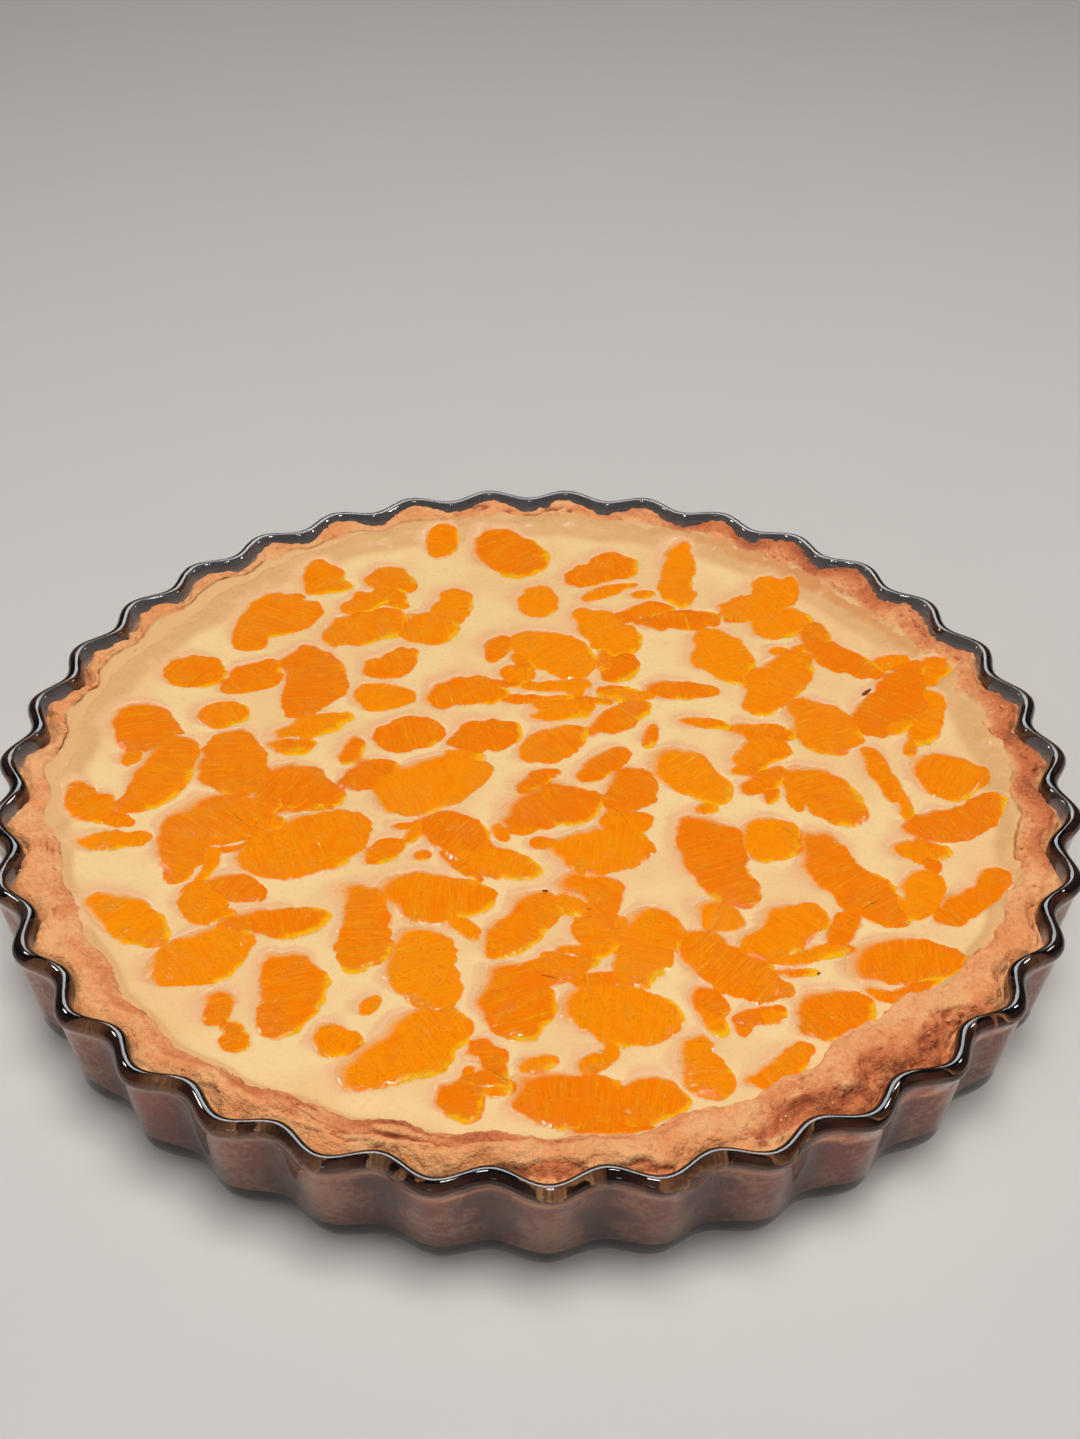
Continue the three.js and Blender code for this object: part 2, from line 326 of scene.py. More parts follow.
@dataclass(frozen=True)
class GlassFinish:
    """Pressed glass with softly uneven faces and a warm tint, and painted shade at the rim, which is tinted
    dark grey from its top down.
    """

    # A warm tint, which also darkens the crust seen through the wall as painted shade.
    clear: Colour = tone(187, 163, 153)
    # Painted shade: the rim is tinted dark grey from this height up, standing in for a dark room seen in the
    # thick glass.
    dark_rim_shade: Colour = tone(84, 84, 87)
    dark_rim_from: float = 28.0
    dark_rim_full: float = 31.5
    bend: float = 1.5

    def make(self) -> bpy.types.Material:
        """Makes the material."""
        graph = MaterialGraph("clear_glass")
        place = graph.place()
        waves = graph.cloud(place, 9.0, 1.0)
        smear = graph.cloud(place, 22.0, 3.0)
        height = graph.node("ShaderNodeSeparateXYZ", {}, {0: place}, 2)
        rim = height.between(self.dark_rim_from * MM, self.dark_rim_full * MM)
        return graph.finish(
            {
                "Base Color": graph.mix(self.clear, self.dark_rim_shade, rim),
                "Roughness": smear.between(0.45, 0.8) * 0.06,
                "IOR": self.bend,
                "Transmission Weight": 1.0,
                "Normal": graph.bump(waves, 0.12, 0.35),
            }
        )


@dataclass(frozen=True)
class CrustFinish:
    """Baked shortcrust: matt and crumbly, browned on its crests, with custard baked on to its inside, and
    with painted shade in its hollows and where it lies against the glass.
    """

    pale: Colour = tone(247, 180, 122)
    golden: Colour = tone(238, 153, 94)
    toasted: Colour = tone(213, 118, 70)
    burnt: Colour = tone(152, 84, 54)
    crack_shade: Colour = tone(172, 88, 54)
    film: Colour = tone(231, 180, 123)
    # The crust against the glass: colours darkened as painted shade, the last one for the flutes' hollows.
    pressed: Colour = tone(166, 86, 56)
    floury: Colour = tone(202, 148, 114)
    shaded: Colour = tone(98, 48, 34)

    def make(self) -> bpy.types.Material:
        """Makes the material."""
        graph = MaterialGraph("baked_shortcrust")
        place = graph.place()
        patches = graph.cloud(place, 11.0, 3.0)
        crumbs = graph.cloud(place, 1.5, 3.0, 0.65)
        specks = graph.cloud(place, 0.7, 2.0, 0.6)
        browning_and_shade = graph.mark("browning_and_shade")
        colour = graph.mix(self.pale, self.golden, (patches * 0.6 + crumbs * 0.4).between(0.38, 0.62))
        toast = (browning_and_shade + (crumbs - 0.5) * 0.5 + (patches - 0.5) * 0.5).between(0.18, 0.85)
        colour = graph.mix(colour, self.toasted, toast)
        burn = (browning_and_shade + (specks - 0.5) * 1.1 + (patches - 0.5) * 0.6).between(0.75, 1.25)
        colour = graph.mix(colour, self.burnt, burn)
        # Painted shade: the relief's hollows, pits and cracks are darkened.
        colour = graph.mix(colour, self.crack_shade, graph.mark("hollow_shade").between(0.25, 1.0) * 0.85)
        film = (graph.mark("film") + (crumbs - 0.5) * 0.3).between(0.25, 0.75)
        colour = graph.mix(colour, self.film, film)
        # Painted shade: against the glass the crust takes these darker colours, and the darkest in the
        # flutes' hollows.
        contact_shade = graph.mix(self.pressed, self.floury, (patches * 0.5 + crumbs * 0.5).between(0.44, 0.6))
        contact_shade = graph.mix(contact_shade, self.shaded, browning_and_shade.between(0.1, 1.0) * 0.75)
        colour = graph.mix(colour, contact_shade, graph.mark("press"))
        bare = 1.0 - film * 0.8
        normal = graph.bump(crumbs * bare, 0.9, 0.8)
        normal = graph.bump(specks * bare, 0.55, 0.8, normal)
        return graph.finish(
            {
                "Base Color": colour,
                "Roughness": 0.78 - film * 0.3 - toast * 0.2,
                "Specular IOR Level": 0.3,
                "Normal": normal,
            }
        )


@dataclass(frozen=True)
class CustardFinish:
    """Set custard: pale yellow and moist, tinted by the juice beside the fruit."""

    yellow: Colour = tone(246, 209, 149)
    cream: Colour = tone(242, 198, 137)
    tinted: Colour = tone(240, 186, 135)
    baked: Colour = tone(226, 175, 116)
    toasted: Colour = tone(219, 150, 90)

    def make(self) -> bpy.types.Material:
        """Makes the material."""
        graph = MaterialGraph("set_custard")
        place = graph.place()
        drift = graph.cloud(place, 24.0, 2.0)
        skin = graph.cloud(place, 1.6, 2.0)
        fine = graph.cloud(place, 0.6, 1.0)
        stain = graph.mark("stain")
        edge = graph.mark("edge")
        colour = graph.mix(self.yellow, self.cream, (drift * 0.93 + skin * 0.07).between(0.4, 0.6))
        colour = graph.mix(colour, self.baked, (edge * (drift * 0.6 + skin * 0.4 + 0.5)).between(0.2, 0.95))
        toast = (graph.mark("toast") + (skin - 0.5) * 0.9 + (drift - 0.5) * 0.5).between(0.25, 0.95)
        colour = graph.mix(colour, self.toasted, toast)
        colour = graph.mix(colour, self.tinted, (stain + (skin - 0.5) * 0.1).between(0.06, 0.75))
        normal = graph.bump(skin, 0.1, 0.25)
        normal = graph.bump(fine, 0.05, 0.25, normal)
        return graph.finish(
            {
                "Base Color": colour,
                "Roughness": 0.24 + skin.between(0.35, 0.6) * 0.2,
                "Specular IOR Level": 0.4,
                "Normal": normal,
            }
        )


@dataclass(frozen=True)
class MandarinFinish:
    """Wet canned mandarin: fine crosswise juice sacs, veiled by custard towards the edge."""

    deep: Colour = tone(245, 121, 0)
    bright: Colour = tone(255, 144, 0)
    light: Colour = tone(255, 186, 18)
    veil: Colour = tone(242, 185, 124)
    dried: Colour = tone(120, 52, 20)

    def make(self) -> bpy.types.Material:
        """Makes the material."""
        graph = MaterialGraph("wet_mandarin")
        place = graph.place()
        sacs = graph.node("ShaderNodeAttribute", {"attribute_name": "fibre"}, {}, "Vector")
        ridges = self._threads(graph, sacs, 0.55, 0.2)
        threads = self._threads(graph, sacs, 1.3, 0.1)
        hairs = self._threads(graph, sacs, 3.0, 0.07)
        blots = graph.cloud(place, 5.0, 2.0)
        beads = graph.cloud(place, 0.8, 2.0)
        tint = graph.mark("tint")
        warmth = (threads * 0.5 + blots * 0.5 + tint * 0.3).between(0.44, 0.84)
        colour = graph.mix(self.deep, self.bright, warmth)
        thin = (graph.mark("thin") + (blots - 0.5) * 1.4 + (hairs - 0.5) * 0.8).between(0.35, 1.0)
        colour = graph.mix(colour, self.light, thin * 0.9)
        colour = graph.mix(colour, self.light, (hairs * 0.5 + threads * 0.5).between(0.54, 0.72) * 0.65)
        veil = (graph.mark("veil") + (beads - 0.5) * 0.3).between(0.05, 1.0)
        colour = graph.mix(colour, self.veil, veil)
        colour = graph.mix(colour, self.dried, tint.between(1.5, 2.5))
        strokes = (threads * 0.5 + hairs * 0.5).between(0.56, 0.68)
        drops = (beads * 0.6 + blots * 0.4).between(0.55, 0.64)
        normal = graph.bump(ridges, 0.16, 0.5)
        normal = graph.bump(threads, 0.18, 0.6, normal)
        normal = graph.bump(strokes, 0.13, 0.7, normal)
        normal = graph.bump(drops, 0.21, 0.75, normal)
        return graph.finish(
            {
                "Base Color": colour,
                "Roughness": 0.03 + blots * 0.06,
                "Specular IOR Level": 0.3,
                "Normal": normal,
            }
        )

    @staticmethod
    def _threads(graph: Graph, sacs: Term, per_mm: float, stretch: float) -> Term:
        """Streaks across a segment.

        Args:
            graph: The material.
            sacs: The place along and across the segment, in millimetres.
            per_mm: How many streaks there are in a millimetre.
            stretch: A streak's width as a share of its length.

        Returns:
            A value from 0 to 1.
        """
        settings = {"operation": "MULTIPLY"}
        drawn = graph.node("ShaderNodeVectorMath", settings, {0: sacs, 1: (1.0, stretch, 1.0)})
        sockets = {"Vector": drawn, "Scale": per_mm, "Detail": 2.0, "Distortion": 0.7}
        return graph.node("ShaderNodeTexNoise", {}, sockets, 0)


class Piece:
    """What every finished piece of the pie shares."""

    body = "root"

    def settle(self, piece: bpy.types.Object, slot: str, *nodes: str) -> bpy.types.Object:
        """Rides a finished piece on the frame.

        Args:
            piece: The finished object.
            slot: Not used.
            nodes: The frame's nodes that it stands for.

        Returns:
            The object.
        """
        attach(piece, self.body)
        if nodes:
            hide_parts(*nodes)
        LOG.info("%s: %d faces", piece.name, len(piece.data.polygons))
        return piece


def grown(piece: bpy.types.Object, tree: bpy.types.NodeTree, inputs: Dict[str, Any]) -> bpy.types.Object:
    """Runs a Geometry Nodes tree on an object and keeps the result as a plain mesh.

    Args:
        piece: The object whose mesh the tree starts from.
        tree: The tree.
        inputs: Its named inputs.

    Returns:
        The same object with the new mesh and no modifier.
    """
    modifier = piece.modifiers.new(tree.name, "NODES")
    modifier.node_group = tree
    for item in tree.interface.items_tree:
        if item.in_out == "INPUT" and item.name in inputs:
            modifier[item.identifier] = inputs[item.name]
    evaluated = piece.evaluated_get(bpy.context.evaluated_depsgraph_get())
    mesh = bpy.data.meshes.new_from_object(evaluated)
    piece.modifiers.clear()
    piece.data = mesh
    mesh.name = piece.name
    return piece


def new_tree(name: str, inputs: Dict[str, str]) -> Tuple[Graph, Dict[str, Term]]:
    """Starts a Geometry Nodes tree.

    Args:
        name: The tree's name.
        inputs: The named inputs after the geometry, with their socket types.

    Returns:
        The graph, and its inputs by name.
    """
    tree = bpy.data.node_groups.new(name, "GeometryNodeTree")
    tree.interface.new_socket(name="Geometry", in_out="INPUT", socket_type="NodeSocketGeometry")
    for title, kind in inputs.items():
        tree.interface.new_socket(name=title, in_out="INPUT", socket_type=kind)
    tree.interface.new_socket(name="Geometry", in_out="OUTPUT", socket_type="NodeSocketGeometry")
    graph = Graph(tree)
    start = tree.nodes.new("NodeGroupInput")
    return graph, {socket.name: Term(graph, socket) for socket in start.outputs}


def end_tree(graph: Graph, geometry: Term, finish: Term) -> bpy.types.NodeTree:
    """Ends a tree: instances become mesh and take the finish."""
    real = graph.node("GeometryNodeRealizeInstances", {}, {"Geometry": geometry})
    smooth = graph.node("GeometryNodeSetShadeSmooth", {}, {0: real})
    dressed = graph.node("GeometryNodeSetMaterial", {}, {"Geometry": smooth, "Material": finish})
    graph.node("NodeGroupOutput", {}, {"Geometry": dressed})
    return graph.tree


@dataclass
class GlassDish(Piece):
    """The fluted glass flan dish: flat base, rounded heel, fluted wall and beaded rim."""

    height: float = 34.0
    rim_radius: float = 134.7
    rim_round: float = 2.3
    heel_radius: float = 133.1
    heel_round: float = 10.0
    wall: float = 3.8
    floor: float = 4.6
    inner_round: float = 8.0
    neck: float = 1.1
    flutes: int = 35
    flute_at_rim: float = 2.3
    flute_at_heel: float = 2.0
    flute_turn: float = 0.252
    steps_per_flute: int = 20
    bead_drop: float = 3.4
    bead_from: float = -38.0

    # Radii of the rings under the base and on the floor.
    UNDER_RINGS = (0.01, 30, 60, 90, 110, 119)
    FLOOR_RINGS = (110, 90, 60, 30, 0.01)

    def ridge(self, angle: np.ndarray) -> np.ndarray:
        """1 on the crests of the flutes and -1 in their hollows."""
        return np.cos(self.flutes * (angle - self.flute_turn))

    def inside(self, height: np.ndarray) -> Tuple[np.ndarray, np.ndarray]:
        """Mean radius of the wall's inside at a height, and how deep the flutes are there."""
        height = np.asarray(height, float)
        start = self.floor + self.inner_round
        inner = self.heel_radius - self.wall
        rise = np.clip((height - start) / (self.height - self.rim_round - start), 0, None)
        bow = np.sqrt(np.clip(1 - np.clip((start - height) / self.inner_round, 0, 1) ** 2, 0, 1))
        wall = inner + rise * (self.rim_radius - self.rim_round - inner)
        radius = np.where(height < start, inner - self.inner_round * (1 - bow), wall)
        depth = self.flute_at_heel + rise * (self.flute_at_rim - self.flute_at_heel)
        return radius, np.where(height < start, self.flute_at_heel * bow, depth)

    def outline(self) -> np.ndarray:
        """The section from the axis under the base, round the rim, to the axis on the floor.

        Returns:
            Rows of radius, height and flute depth.
        """
        rows: List[Tuple[float, float, float]] = [(radius, 0.0, 0.0) for radius in self.UNDER_RINGS]
        base = self.heel_radius - self.heel_round
        for turn in np.linspace(-90, 0, 12):
            out, up = math.cos(math.radians(turn)), math.sin(math.radians(turn))
            rows.append((base + self.heel_round * out, self.heel_round * (1 + up), self.flute_at_heel * out))
        middle = self.height - self.rim_round
        waist = self.rim_radius + self.rim_round - self.neck
        wall_top = middle - self.bead_drop
        for share in np.linspace(0, 1, 9)[1:]:
            radius = self.heel_radius + share * (waist - self.heel_radius)
            depth = self.flute_at_heel + share * (self.flute_at_rim - self.flute_at_heel)
            rows.append((radius, self.heel_round + share * (wall_top - self.heel_round), depth))
        for turn in np.linspace(self.bead_from, 180, 22):
            out, up = math.cos(math.radians(turn)), math.sin(math.radians(turn))
            radius = self.rim_radius + self.rim_round * out
            rows.append((radius, middle + self.rim_round * up, self.flute_at_rim))
        levels = list(np.linspace(middle - 2, self.floor + self.inner_round, 8))
        levels += [self.floor + self.inner_round * (1 - math.sin(math.radians(t))) for t in range(9, 91, 9)]
        for level in levels:
            radius, depth = self.inside(level)
            rows.append((float(radius), float(level), float(depth)))
        rows += [(radius, self.floor, 0.0) for radius in self.FLOOR_RINGS]
        return np.array(rows)

    def flute_tree(self) -> bpy.types.NodeTree:
        """The tree that presses the flutes into a plain turned dish."""
        names = {"Flutes": "NodeSocketFloat", "First crest": "NodeSocketFloat"}
        names["Finish"] = "NodeSocketMaterial"
        graph, given = new_tree("press_flutes", names)
        place = graph.node("GeometryNodeInputPosition")
        split = graph.node("ShaderNodeSeparateXYZ", {}, {0: place})
        across, along = split, Term(graph, split.socket.node.outputs[1])
        angle = graph.node("ShaderNodeMath", {"operation": "ARCTAN2"}, {0: along, 1: across})
        turn = (angle - given["First crest"]) * given["Flutes"]
        wave = graph.node("ShaderNodeMath", {"operation": "COSINE"}, {0: turn})
        depth = graph.node("GeometryNodeInputNamedAttribute", {"data_type": "FLOAT"}, {"Name": "flute_depth"})
        push = wave * depth
        out_x = graph.node("ShaderNodeMath", {"operation": "COSINE"}, {0: angle})
        out_y = graph.node("ShaderNodeMath", {"operation": "SINE"}, {0: angle})
        offset = graph.node("ShaderNodeCombineXYZ", {}, {0: push * out_x, 1: push * out_y})
        moved = graph.node("GeometryNodeSetPosition", {}, {"Geometry": given["Geometry"], "Offset": offset})
        return end_tree(graph, moved, given["Finish"])

    def build(self) -> bpy.types.Object:
        """Turns the plain dish, presses its flutes and dresses it."""
        columns = self.flutes * self.steps_per_flute
        section = self.outline()
        angle = self.flute_turn + 2 * math.pi * np.arange(columns) / columns
        points = np.empty((len(section), columns, 3))
        points[..., 0] = section[:, :1] * np.cos(angle)
        points[..., 1] = section[:, :1] * np.sin(angle)
        points[..., 2] = section[:, 1:2]
        faces = tube_faces(len(section), columns)
        depth = np.repeat(section[:, 2], columns) * MM
        dish = new_mesh("glass_dish", points.reshape(-1, 3), faces, {"flute_depth": depth})
        inputs = {"Flutes": float(self.flutes), "First crest": self.flute_turn}
        inputs["Finish"] = GlassFinish().make()
        grown(dish, self.flute_tree(), inputs)
        dish.visible_shadow = False
        return self.settle(dish, "glass", "dish")


@dataclass
class CrustShell(Piece):
    """The shortcrust shell, pressed into the glass and baked to a craggy edge."""

    dish: GlassDish
    into_wall: float = 0.15
    top: float = 32.3
    top_sway: float = 0.8
    crest_level: float = 32.8
    crest_room: float = 1.0
    wall_top: float = 29.3
    outer_edge: float = 128.8
    inner_edge: float = 124.0
    custard_level: float = 29.0
    custard_radius: float = 121.3
    floor_top: float = 10.0
    floor_radius: float = 112.0
    columns: int = 1260
    edge_radius: float = 127.0
    marks: Dict[str, np.ndarray] = field(default_factory=dict)

    # Radii of the rings under the shell.
    UNDER_RINGS = (0.01, 40, 80, 105, 117)

    # Features round the pie: how much, at which compass angle, and over what spread in degrees.
    HEAPED = ((8, -48, 12), (5, -75, 25), (-3.5, -81.5, 5.5))
    PRESSED = ((1.5, -152, 12), (-1.5, -130, 9), (-2, 90, 30), (3, 145, 14), (1.5, 40, 12), (2.5, 180, 14))
    SHRUNK = ((5.5, -52, 15), (2, -95, 20))
    SOFT = ((1, 150, 48), (1, 88, 35), (1, 20, 45))
    TALL_BACK = ((1, 95, 55), (0.7, 50, 14))
    HOT = ((1.15, 50, 18), (1, 5, 20), (0.4, 74, 9), (0.35, -85, 35), (0.15, 105, 22), (0.1, 160, 20))
    BROWN_LIP = ((0.9, -108, 36), (0.4, -160, 20))

    def heap(self, angle: np.ndarray) -> np.ndarray:
        """How far the baked edge is heaped inward at the front."""
        return swells(angle, self.HEAPED)

    def pressing(self, angle: np.ndarray) -> np.ndarray:
        """How much thicker the wall is pressed by hand."""
        return swells(angle, self.PRESSED)

    def shrinkage(self, angle: np.ndarray) -> np.ndarray:
        """How far the edge has drawn back from the glass at the front."""
        return swells(angle, self.SHRUNK)

    def soft(self, angle: np.ndarray) -> np.ndarray:
        """Where the custard has climbed the crust in a wide soft slope: all round but at the front."""
        return np.clip(swells(angle, self.SOFT), 0, 1)

    def bed(self, flat: np.ndarray) -> np.ndarray:
        """How far the custard has climbed towards the crust at each place, over its level."""
        angle = np.arctan2(flat[:, 1], flat[:, 0])
        away = np.maximum(self.custard_edge(angle) - np.hypot(flat[:, 0], flat[:, 1]), 0)
        soft = self.soft(angle)
        climb = 0.9 + 1.5 * soft - 1.0 * swell(angle, 158, 40)
        return climb * np.exp(-away / (1.8 + 3.2 * soft))

    def custard_edge(self, angle: np.ndarray) -> np.ndarray:
        """Radius of the crust's inside where the custard's surface meets it."""
        thickness = 0.45 * self.heap(angle) + self.pressing(angle)
        return self.custard_radius - thickness + 0.6 * self.dish.ridge(angle)

    def section(self, angle: np.ndarray) -> Tuple[np.ndarray, np.ndarray, np.ndarray]:
        """The shell's section at every angle.

        Args:
            angle: The angles round the dish.

        Returns:
            Radius and height, rings x angles, and for each ring its place along the section: under 1 is the
            face against the glass, 1 to 2 the outer edge, 2 to 3 the top, 3 to 4 the inner slope.
        """
        ridge = self.dish.ridge(angle)
        radii: List[np.ndarray] = []
        heights: List[np.ndarray] = []
        places: List[float] = []

        def ring(radius: np.ndarray, height: np.ndarray, where: float) -> None:
            """Adds one ring."""
            radii.append(np.broadcast_to(radius, angle.shape).astype(float))
            heights.append(np.broadcast_to(height, angle.shape).astype(float))
            places.append(where)

        under = self.dish.floor - self.into_wall
        for radius in self.UNDER_RINGS:
            ring(radius, under, 0.0)
        wall_top = self.wall_top - 0.7 * self.shrinkage(angle) + 0.5 * sway(angle, 2)
        start = self.dish.floor + self.dish.inner_round
        for turn in range(80, 0, -16):
            level = self.dish.floor + self.dish.inner_round * (1 - math.sin(math.radians(turn)))
            radius, depth = self.dish.inside(level)
            ring(radius + self.into_wall + depth * ridge, level, 0.3)
        for share in np.linspace(0, 1, 11)[:-1]:
            level = start + share * (wall_top - start)
            radius, depth = self.dish.inside(level)
            ring(radius + self.into_wall + depth * ridge, level, 0.4 + 0.5 * share)
        back = np.clip(swells(angle, self.TALL_BACK), 0, 1.2)
        around = np.column_stack([np.cos(angle), np.sin(angle), np.zeros(len(angle))]) * self.edge_radius
        top = self.top + self.top_sway * sway(angle, 1) * (1 - 0.5 * back)
        top = top + back * (0.4 + 0.9 * ridge + 0.5 * grain(around, 13.0, 5))
        wall_radius, wall_depth = self.dish.inside(wall_top)
        outer = self.outer_edge - self.shrinkage(angle) + 0.5 * sway(angle, 3) + 1.7 * ridge
        outer = outer + back * (2.2 + 0.6 * ridge) + 2.7 * swell(angle, 172, 40) * grain(around, 4.2, 6, 3)
        soft = self.soft(angle)
        inner = self.inner_edge - self.heap(angle) - self.pressing(angle) * (1 - 0.8 * soft) + ridge
        inner = inner + 2.4 * swell(angle, 155, 40) + back * (1.2 + 0.4 * ridge) - 2.6 * swell(angle, 33, 30)
        meet = self.custard_edge(angle)
        below_radius, below_depth = self.dish.inside(wall_top - 3)
        knots = [
            (below_radius + self.into_wall + below_depth * ridge, wall_top - 3),
            (wall_radius + self.into_wall + wall_depth * ridge, wall_top),
            (outer, top),
            (inner, top - 0.6 - 0.9 * soft),
            (meet, np.full_like(meet, self.custard_level)),
            (meet - 1.6, np.full_like(meet, self.custard_level - 4)),
        ]
        for span, steps in ((1, 13), (2, 17), (3, 13)):
            before, first, second, after = (np.stack(knots[span - 1 + k]) for k in range(4))
            for share in np.arange(steps) / steps:
                radius, height = spline(before, first, second, after, share)
                ring(radius, height, span + share)
        ring(*knots[4], 4.0)
        ring(*knots[5], 4.2)
        ring(self.floor_radius, self.floor_top, 4.6)
        ring(60, self.floor_top, 5.0)
        ring(0.01, self.floor_top, 5.0)
        return np.array(radii), np.array(heights), np.array(places)

    def relief(self, points: np.ndarray, angle: np.ndarray, place: np.ndarray) -> np.ndarray:
        """Crags, crumbs, flakes and cracks, in millimetres outward, and the marks that the finish reads.

        Args:
            points: The smooth shell's points.
            angle: Each point's angle.
            place: Each point's place along the section.

        Returns:
            How far each point moves along its normal.
        """
        radius = np.hypot(points[:, 0], points[:, 1])
        height = points[:, 2]
        bare = ease(0.85, 1.25, place) * ease(4.2, 3.7, place)
        face = ease(0.9, 1.2, place) * ease(2.25, 1.75, place)
        front = swell(angle, -88, 32)
        broken = swell(angle, -50, 20)
        plain = swell(angle, -152, 14)
        lumps = 0.5 * grain(points, 7.0, 11, 2)
        crags = grain(points, 2.6, 21, 2)
        crumbs = grain(points, 1.25, 31, 2)
        layers = np.stack([angle * self.edge_radius / 9, radius / 1.5, height / 1.5], axis=1)
        flakes = grain(layers, 1.0, 41, 2)
        slits = np.clip(1 - np.abs(grain(layers * 0.6, 1.0, 51, 2)) / 0.13, 0, 1)
        slits *= np.clip(0.1 + 0.3 * front + 0.8 * broken * face + grain(points, 16.0, 61), 0, 1)
        pits = np.clip(grain(points, 1.9, 71) - 0.42, 0, 1)
        rough = 0.42 + 0.05 * front + 0.9 * broken * face - 0.2 * plain + 0.6 * swell(angle, 30, 48)
        blocks = np.stack([angle * self.edge_radius / 22, radius / 4.5, height / 4.5], axis=1)
        slabs = grain(blocks, 1.0, 45, 2)
        split = front * np.clip(1 - np.abs(slabs) / 0.09, 0, 1) * ease(2.7, 2.2, place)
        ledge = front * (2 * ease(-0.06, 0.06, slabs) - 1) * ease(2.9, 2.3, place)
        move = lumps + rough * (0.75 * crags + 0.6 * crumbs) + 0.3 * front * flakes + 0.6 * ledge
        move = move - 0.9 * slits - 0.8 * pits - 0.7 * split
        # How far each point lies in a hollow, pit or crack, which the finish darkens as painted shade.
        deep = -(rough * (0.8 * crags + 0.5 * crumbs) + 0.3 * front * flakes) + 1.1 * slits + 1.2 * pits
        deep = deep + 0.9 * split - 0.25 * ledge
        self._bake(points, angle, place, face)
        # The front's raised slabs are made paler and its sunk ones browner, as painted light and shade.
        self.marks["browning_and_shade"] = np.clip(self.marks["browning_and_shade"] - 0.35 * ledge, 0, 1.2)
        coated = 1 - 0.75 * self.marks["film"]
        self.marks["hollow_shade"] = np.clip(deep, 0, 1) * bare * coated
        self.marks["press"] = ease(1.1, 0.8, place)
        return move * bare * coated

    def _bake(self, points: np.ndarray, angle: np.ndarray, place: np.ndarray, face: np.ndarray) -> None:
        """Marks where the crust is browned, where it is darkened as painted shade against the glass and in
        the flutes' hollows, and where custard is baked on to it.
        """
        crest = ease(1.2, 1.9, place) * ease(3.2, 2.2, place)
        patch = 0.5 + 0.5 * grain(points, 9.0, 81, 2)
        browning_and_shade = 0.1 * crest + swells(angle, self.HOT) * crest * (0.45 + 0.7 * patch)
        browning_and_shade = browning_and_shade + face * (0.62 * swell(angle, -50, 20) + 0.1)
        lip = ease(2.2, 2.8, place) * ease(4.1, 3.7, place)
        browning_and_shade = browning_and_shade + lip * (0.4 + 0.6 * patch) * swells(angle, self.BROWN_LIP)
        # Painted shade: against the glass, darker towards the flutes' hollows.
        browning_and_shade = browning_and_shade + ease(1.1, 0.8, place) * (0.5 - 0.5 * self.dish.ridge(angle))
        self.marks["browning_and_shade"] = np.clip(browning_and_shade, 0, 1.2)
        rise = 0.8 + 2.1 * self.soft(angle) - 0.7 * swell(angle, -75, 45)
        rise = np.maximum(rise + 0.7 * grain(points, 6.0, 91, 2), 0.1)
        above = points[:, 2] - self.custard_level
        self.marks["film"] = ease(rise + 1.2, rise - 1.2, above) * ease(2.2, 2.9, place)

    def build(self) -> bpy.types.Object:
        """Shapes the shell, gives it its relief and dresses it."""
        angle = self.dish.flute_turn + 2 * math.pi * np.arange(self.columns) / self.columns
        radius, height, place = self.section(angle)
        grid = np.stack([radius * np.cos(angle), radius * np.sin(angle), height], axis=-1)
        around = np.roll(grid, -1, axis=1) - np.roll(grid, 1, axis=1)
        along = np.gradient(grid, axis=0)
        normal = np.cross(around, along)
        normal /= np.maximum(np.linalg.norm(normal, axis=-1, keepdims=True), 1e-9)
        points = grid.reshape(-1, 3)
        angles = np.tile(angle, len(place))
        places = np.repeat(place, self.columns)
        move = self.relief(points, angles, places)
        points = points + normal.reshape(-1, 3) * move[:, None]
        over = np.maximum(points[:, 2] - self.crest_level, 0)
        points[:, 2] += self.crest_room * np.tanh(over / self.crest_room) - over
        crust = new_mesh("shortcrust", points, tube_faces(len(place), self.columns), self.marks)
        crust.data.materials.append(CrustFinish().make())
        return self.settle(crust, "crust", "crust")


def slice_outlines(node: bpy.types.Object, level: float) -> List[np.ndarray]:
    """Cuts a node of the frame level and returns its outlines.

    Args:
        node: The node's object.
        level: The height of the cut, in millimetres.

    Returns:
        Closed outlines, n x 2, in millimetres, counter-clockwise.
    """
    mesh = node.data
    mesh.calc_loop_triangles()
    points = points_of(mesh)
    corners = np.empty(len(mesh.loop_triangles) * 3, np.int32)
    mesh.loop_triangles.foreach_get("vertices", corners)
    per_mm = 200
    follows: Dict[Tuple[int, int], Tuple[Tuple[int, int], np.ndarray]] = {}
    for triangle in points[corners.reshape(-1, 3)]:
        over = triangle[:, 2] > level
        if over.all() or not over.any():
            continue
        ends = []
        for a, b in ((0, 1), (1, 2), (2, 0)):
            if over[a] == over[b]:
                continue
            low, high = (triangle[b], triangle[a]) if over[a] else (triangle[a], triangle[b])
            share = (level - low[2]) / (high[2] - low[2])
            ends.append((over[a], (low + share * (high - low))[:2]))
        leave = next(spot for was_over, spot in ends if was_over)
        enter = next(spot for was_over, spot in ends if not was_over)
        start, end = (tuple(np.round(spot * per_mm).astype(int)) for spot in (leave, enter))
        follows[start] = (end, leave)
    loops = []
    while follows:
        key, loop = next(iter(follows)), []
        while key in follows:
            key, spot = follows.pop(key)
            loop.append(spot)
        loops.append(np.array(loop))
    return [loop if area_of(loop) > 0 else loop[::-1] for loop in loops if len(loop) > 4]


def area_of(loop: np.ndarray) -> float:
    """Area inside a closed outline, positive if it runs counter-clockwise."""
    after = np.roll(loop, -1, axis=0)
    return float((loop[:, 0] * after[:, 1] - after[:, 0] * loop[:, 1]).sum() / 2)


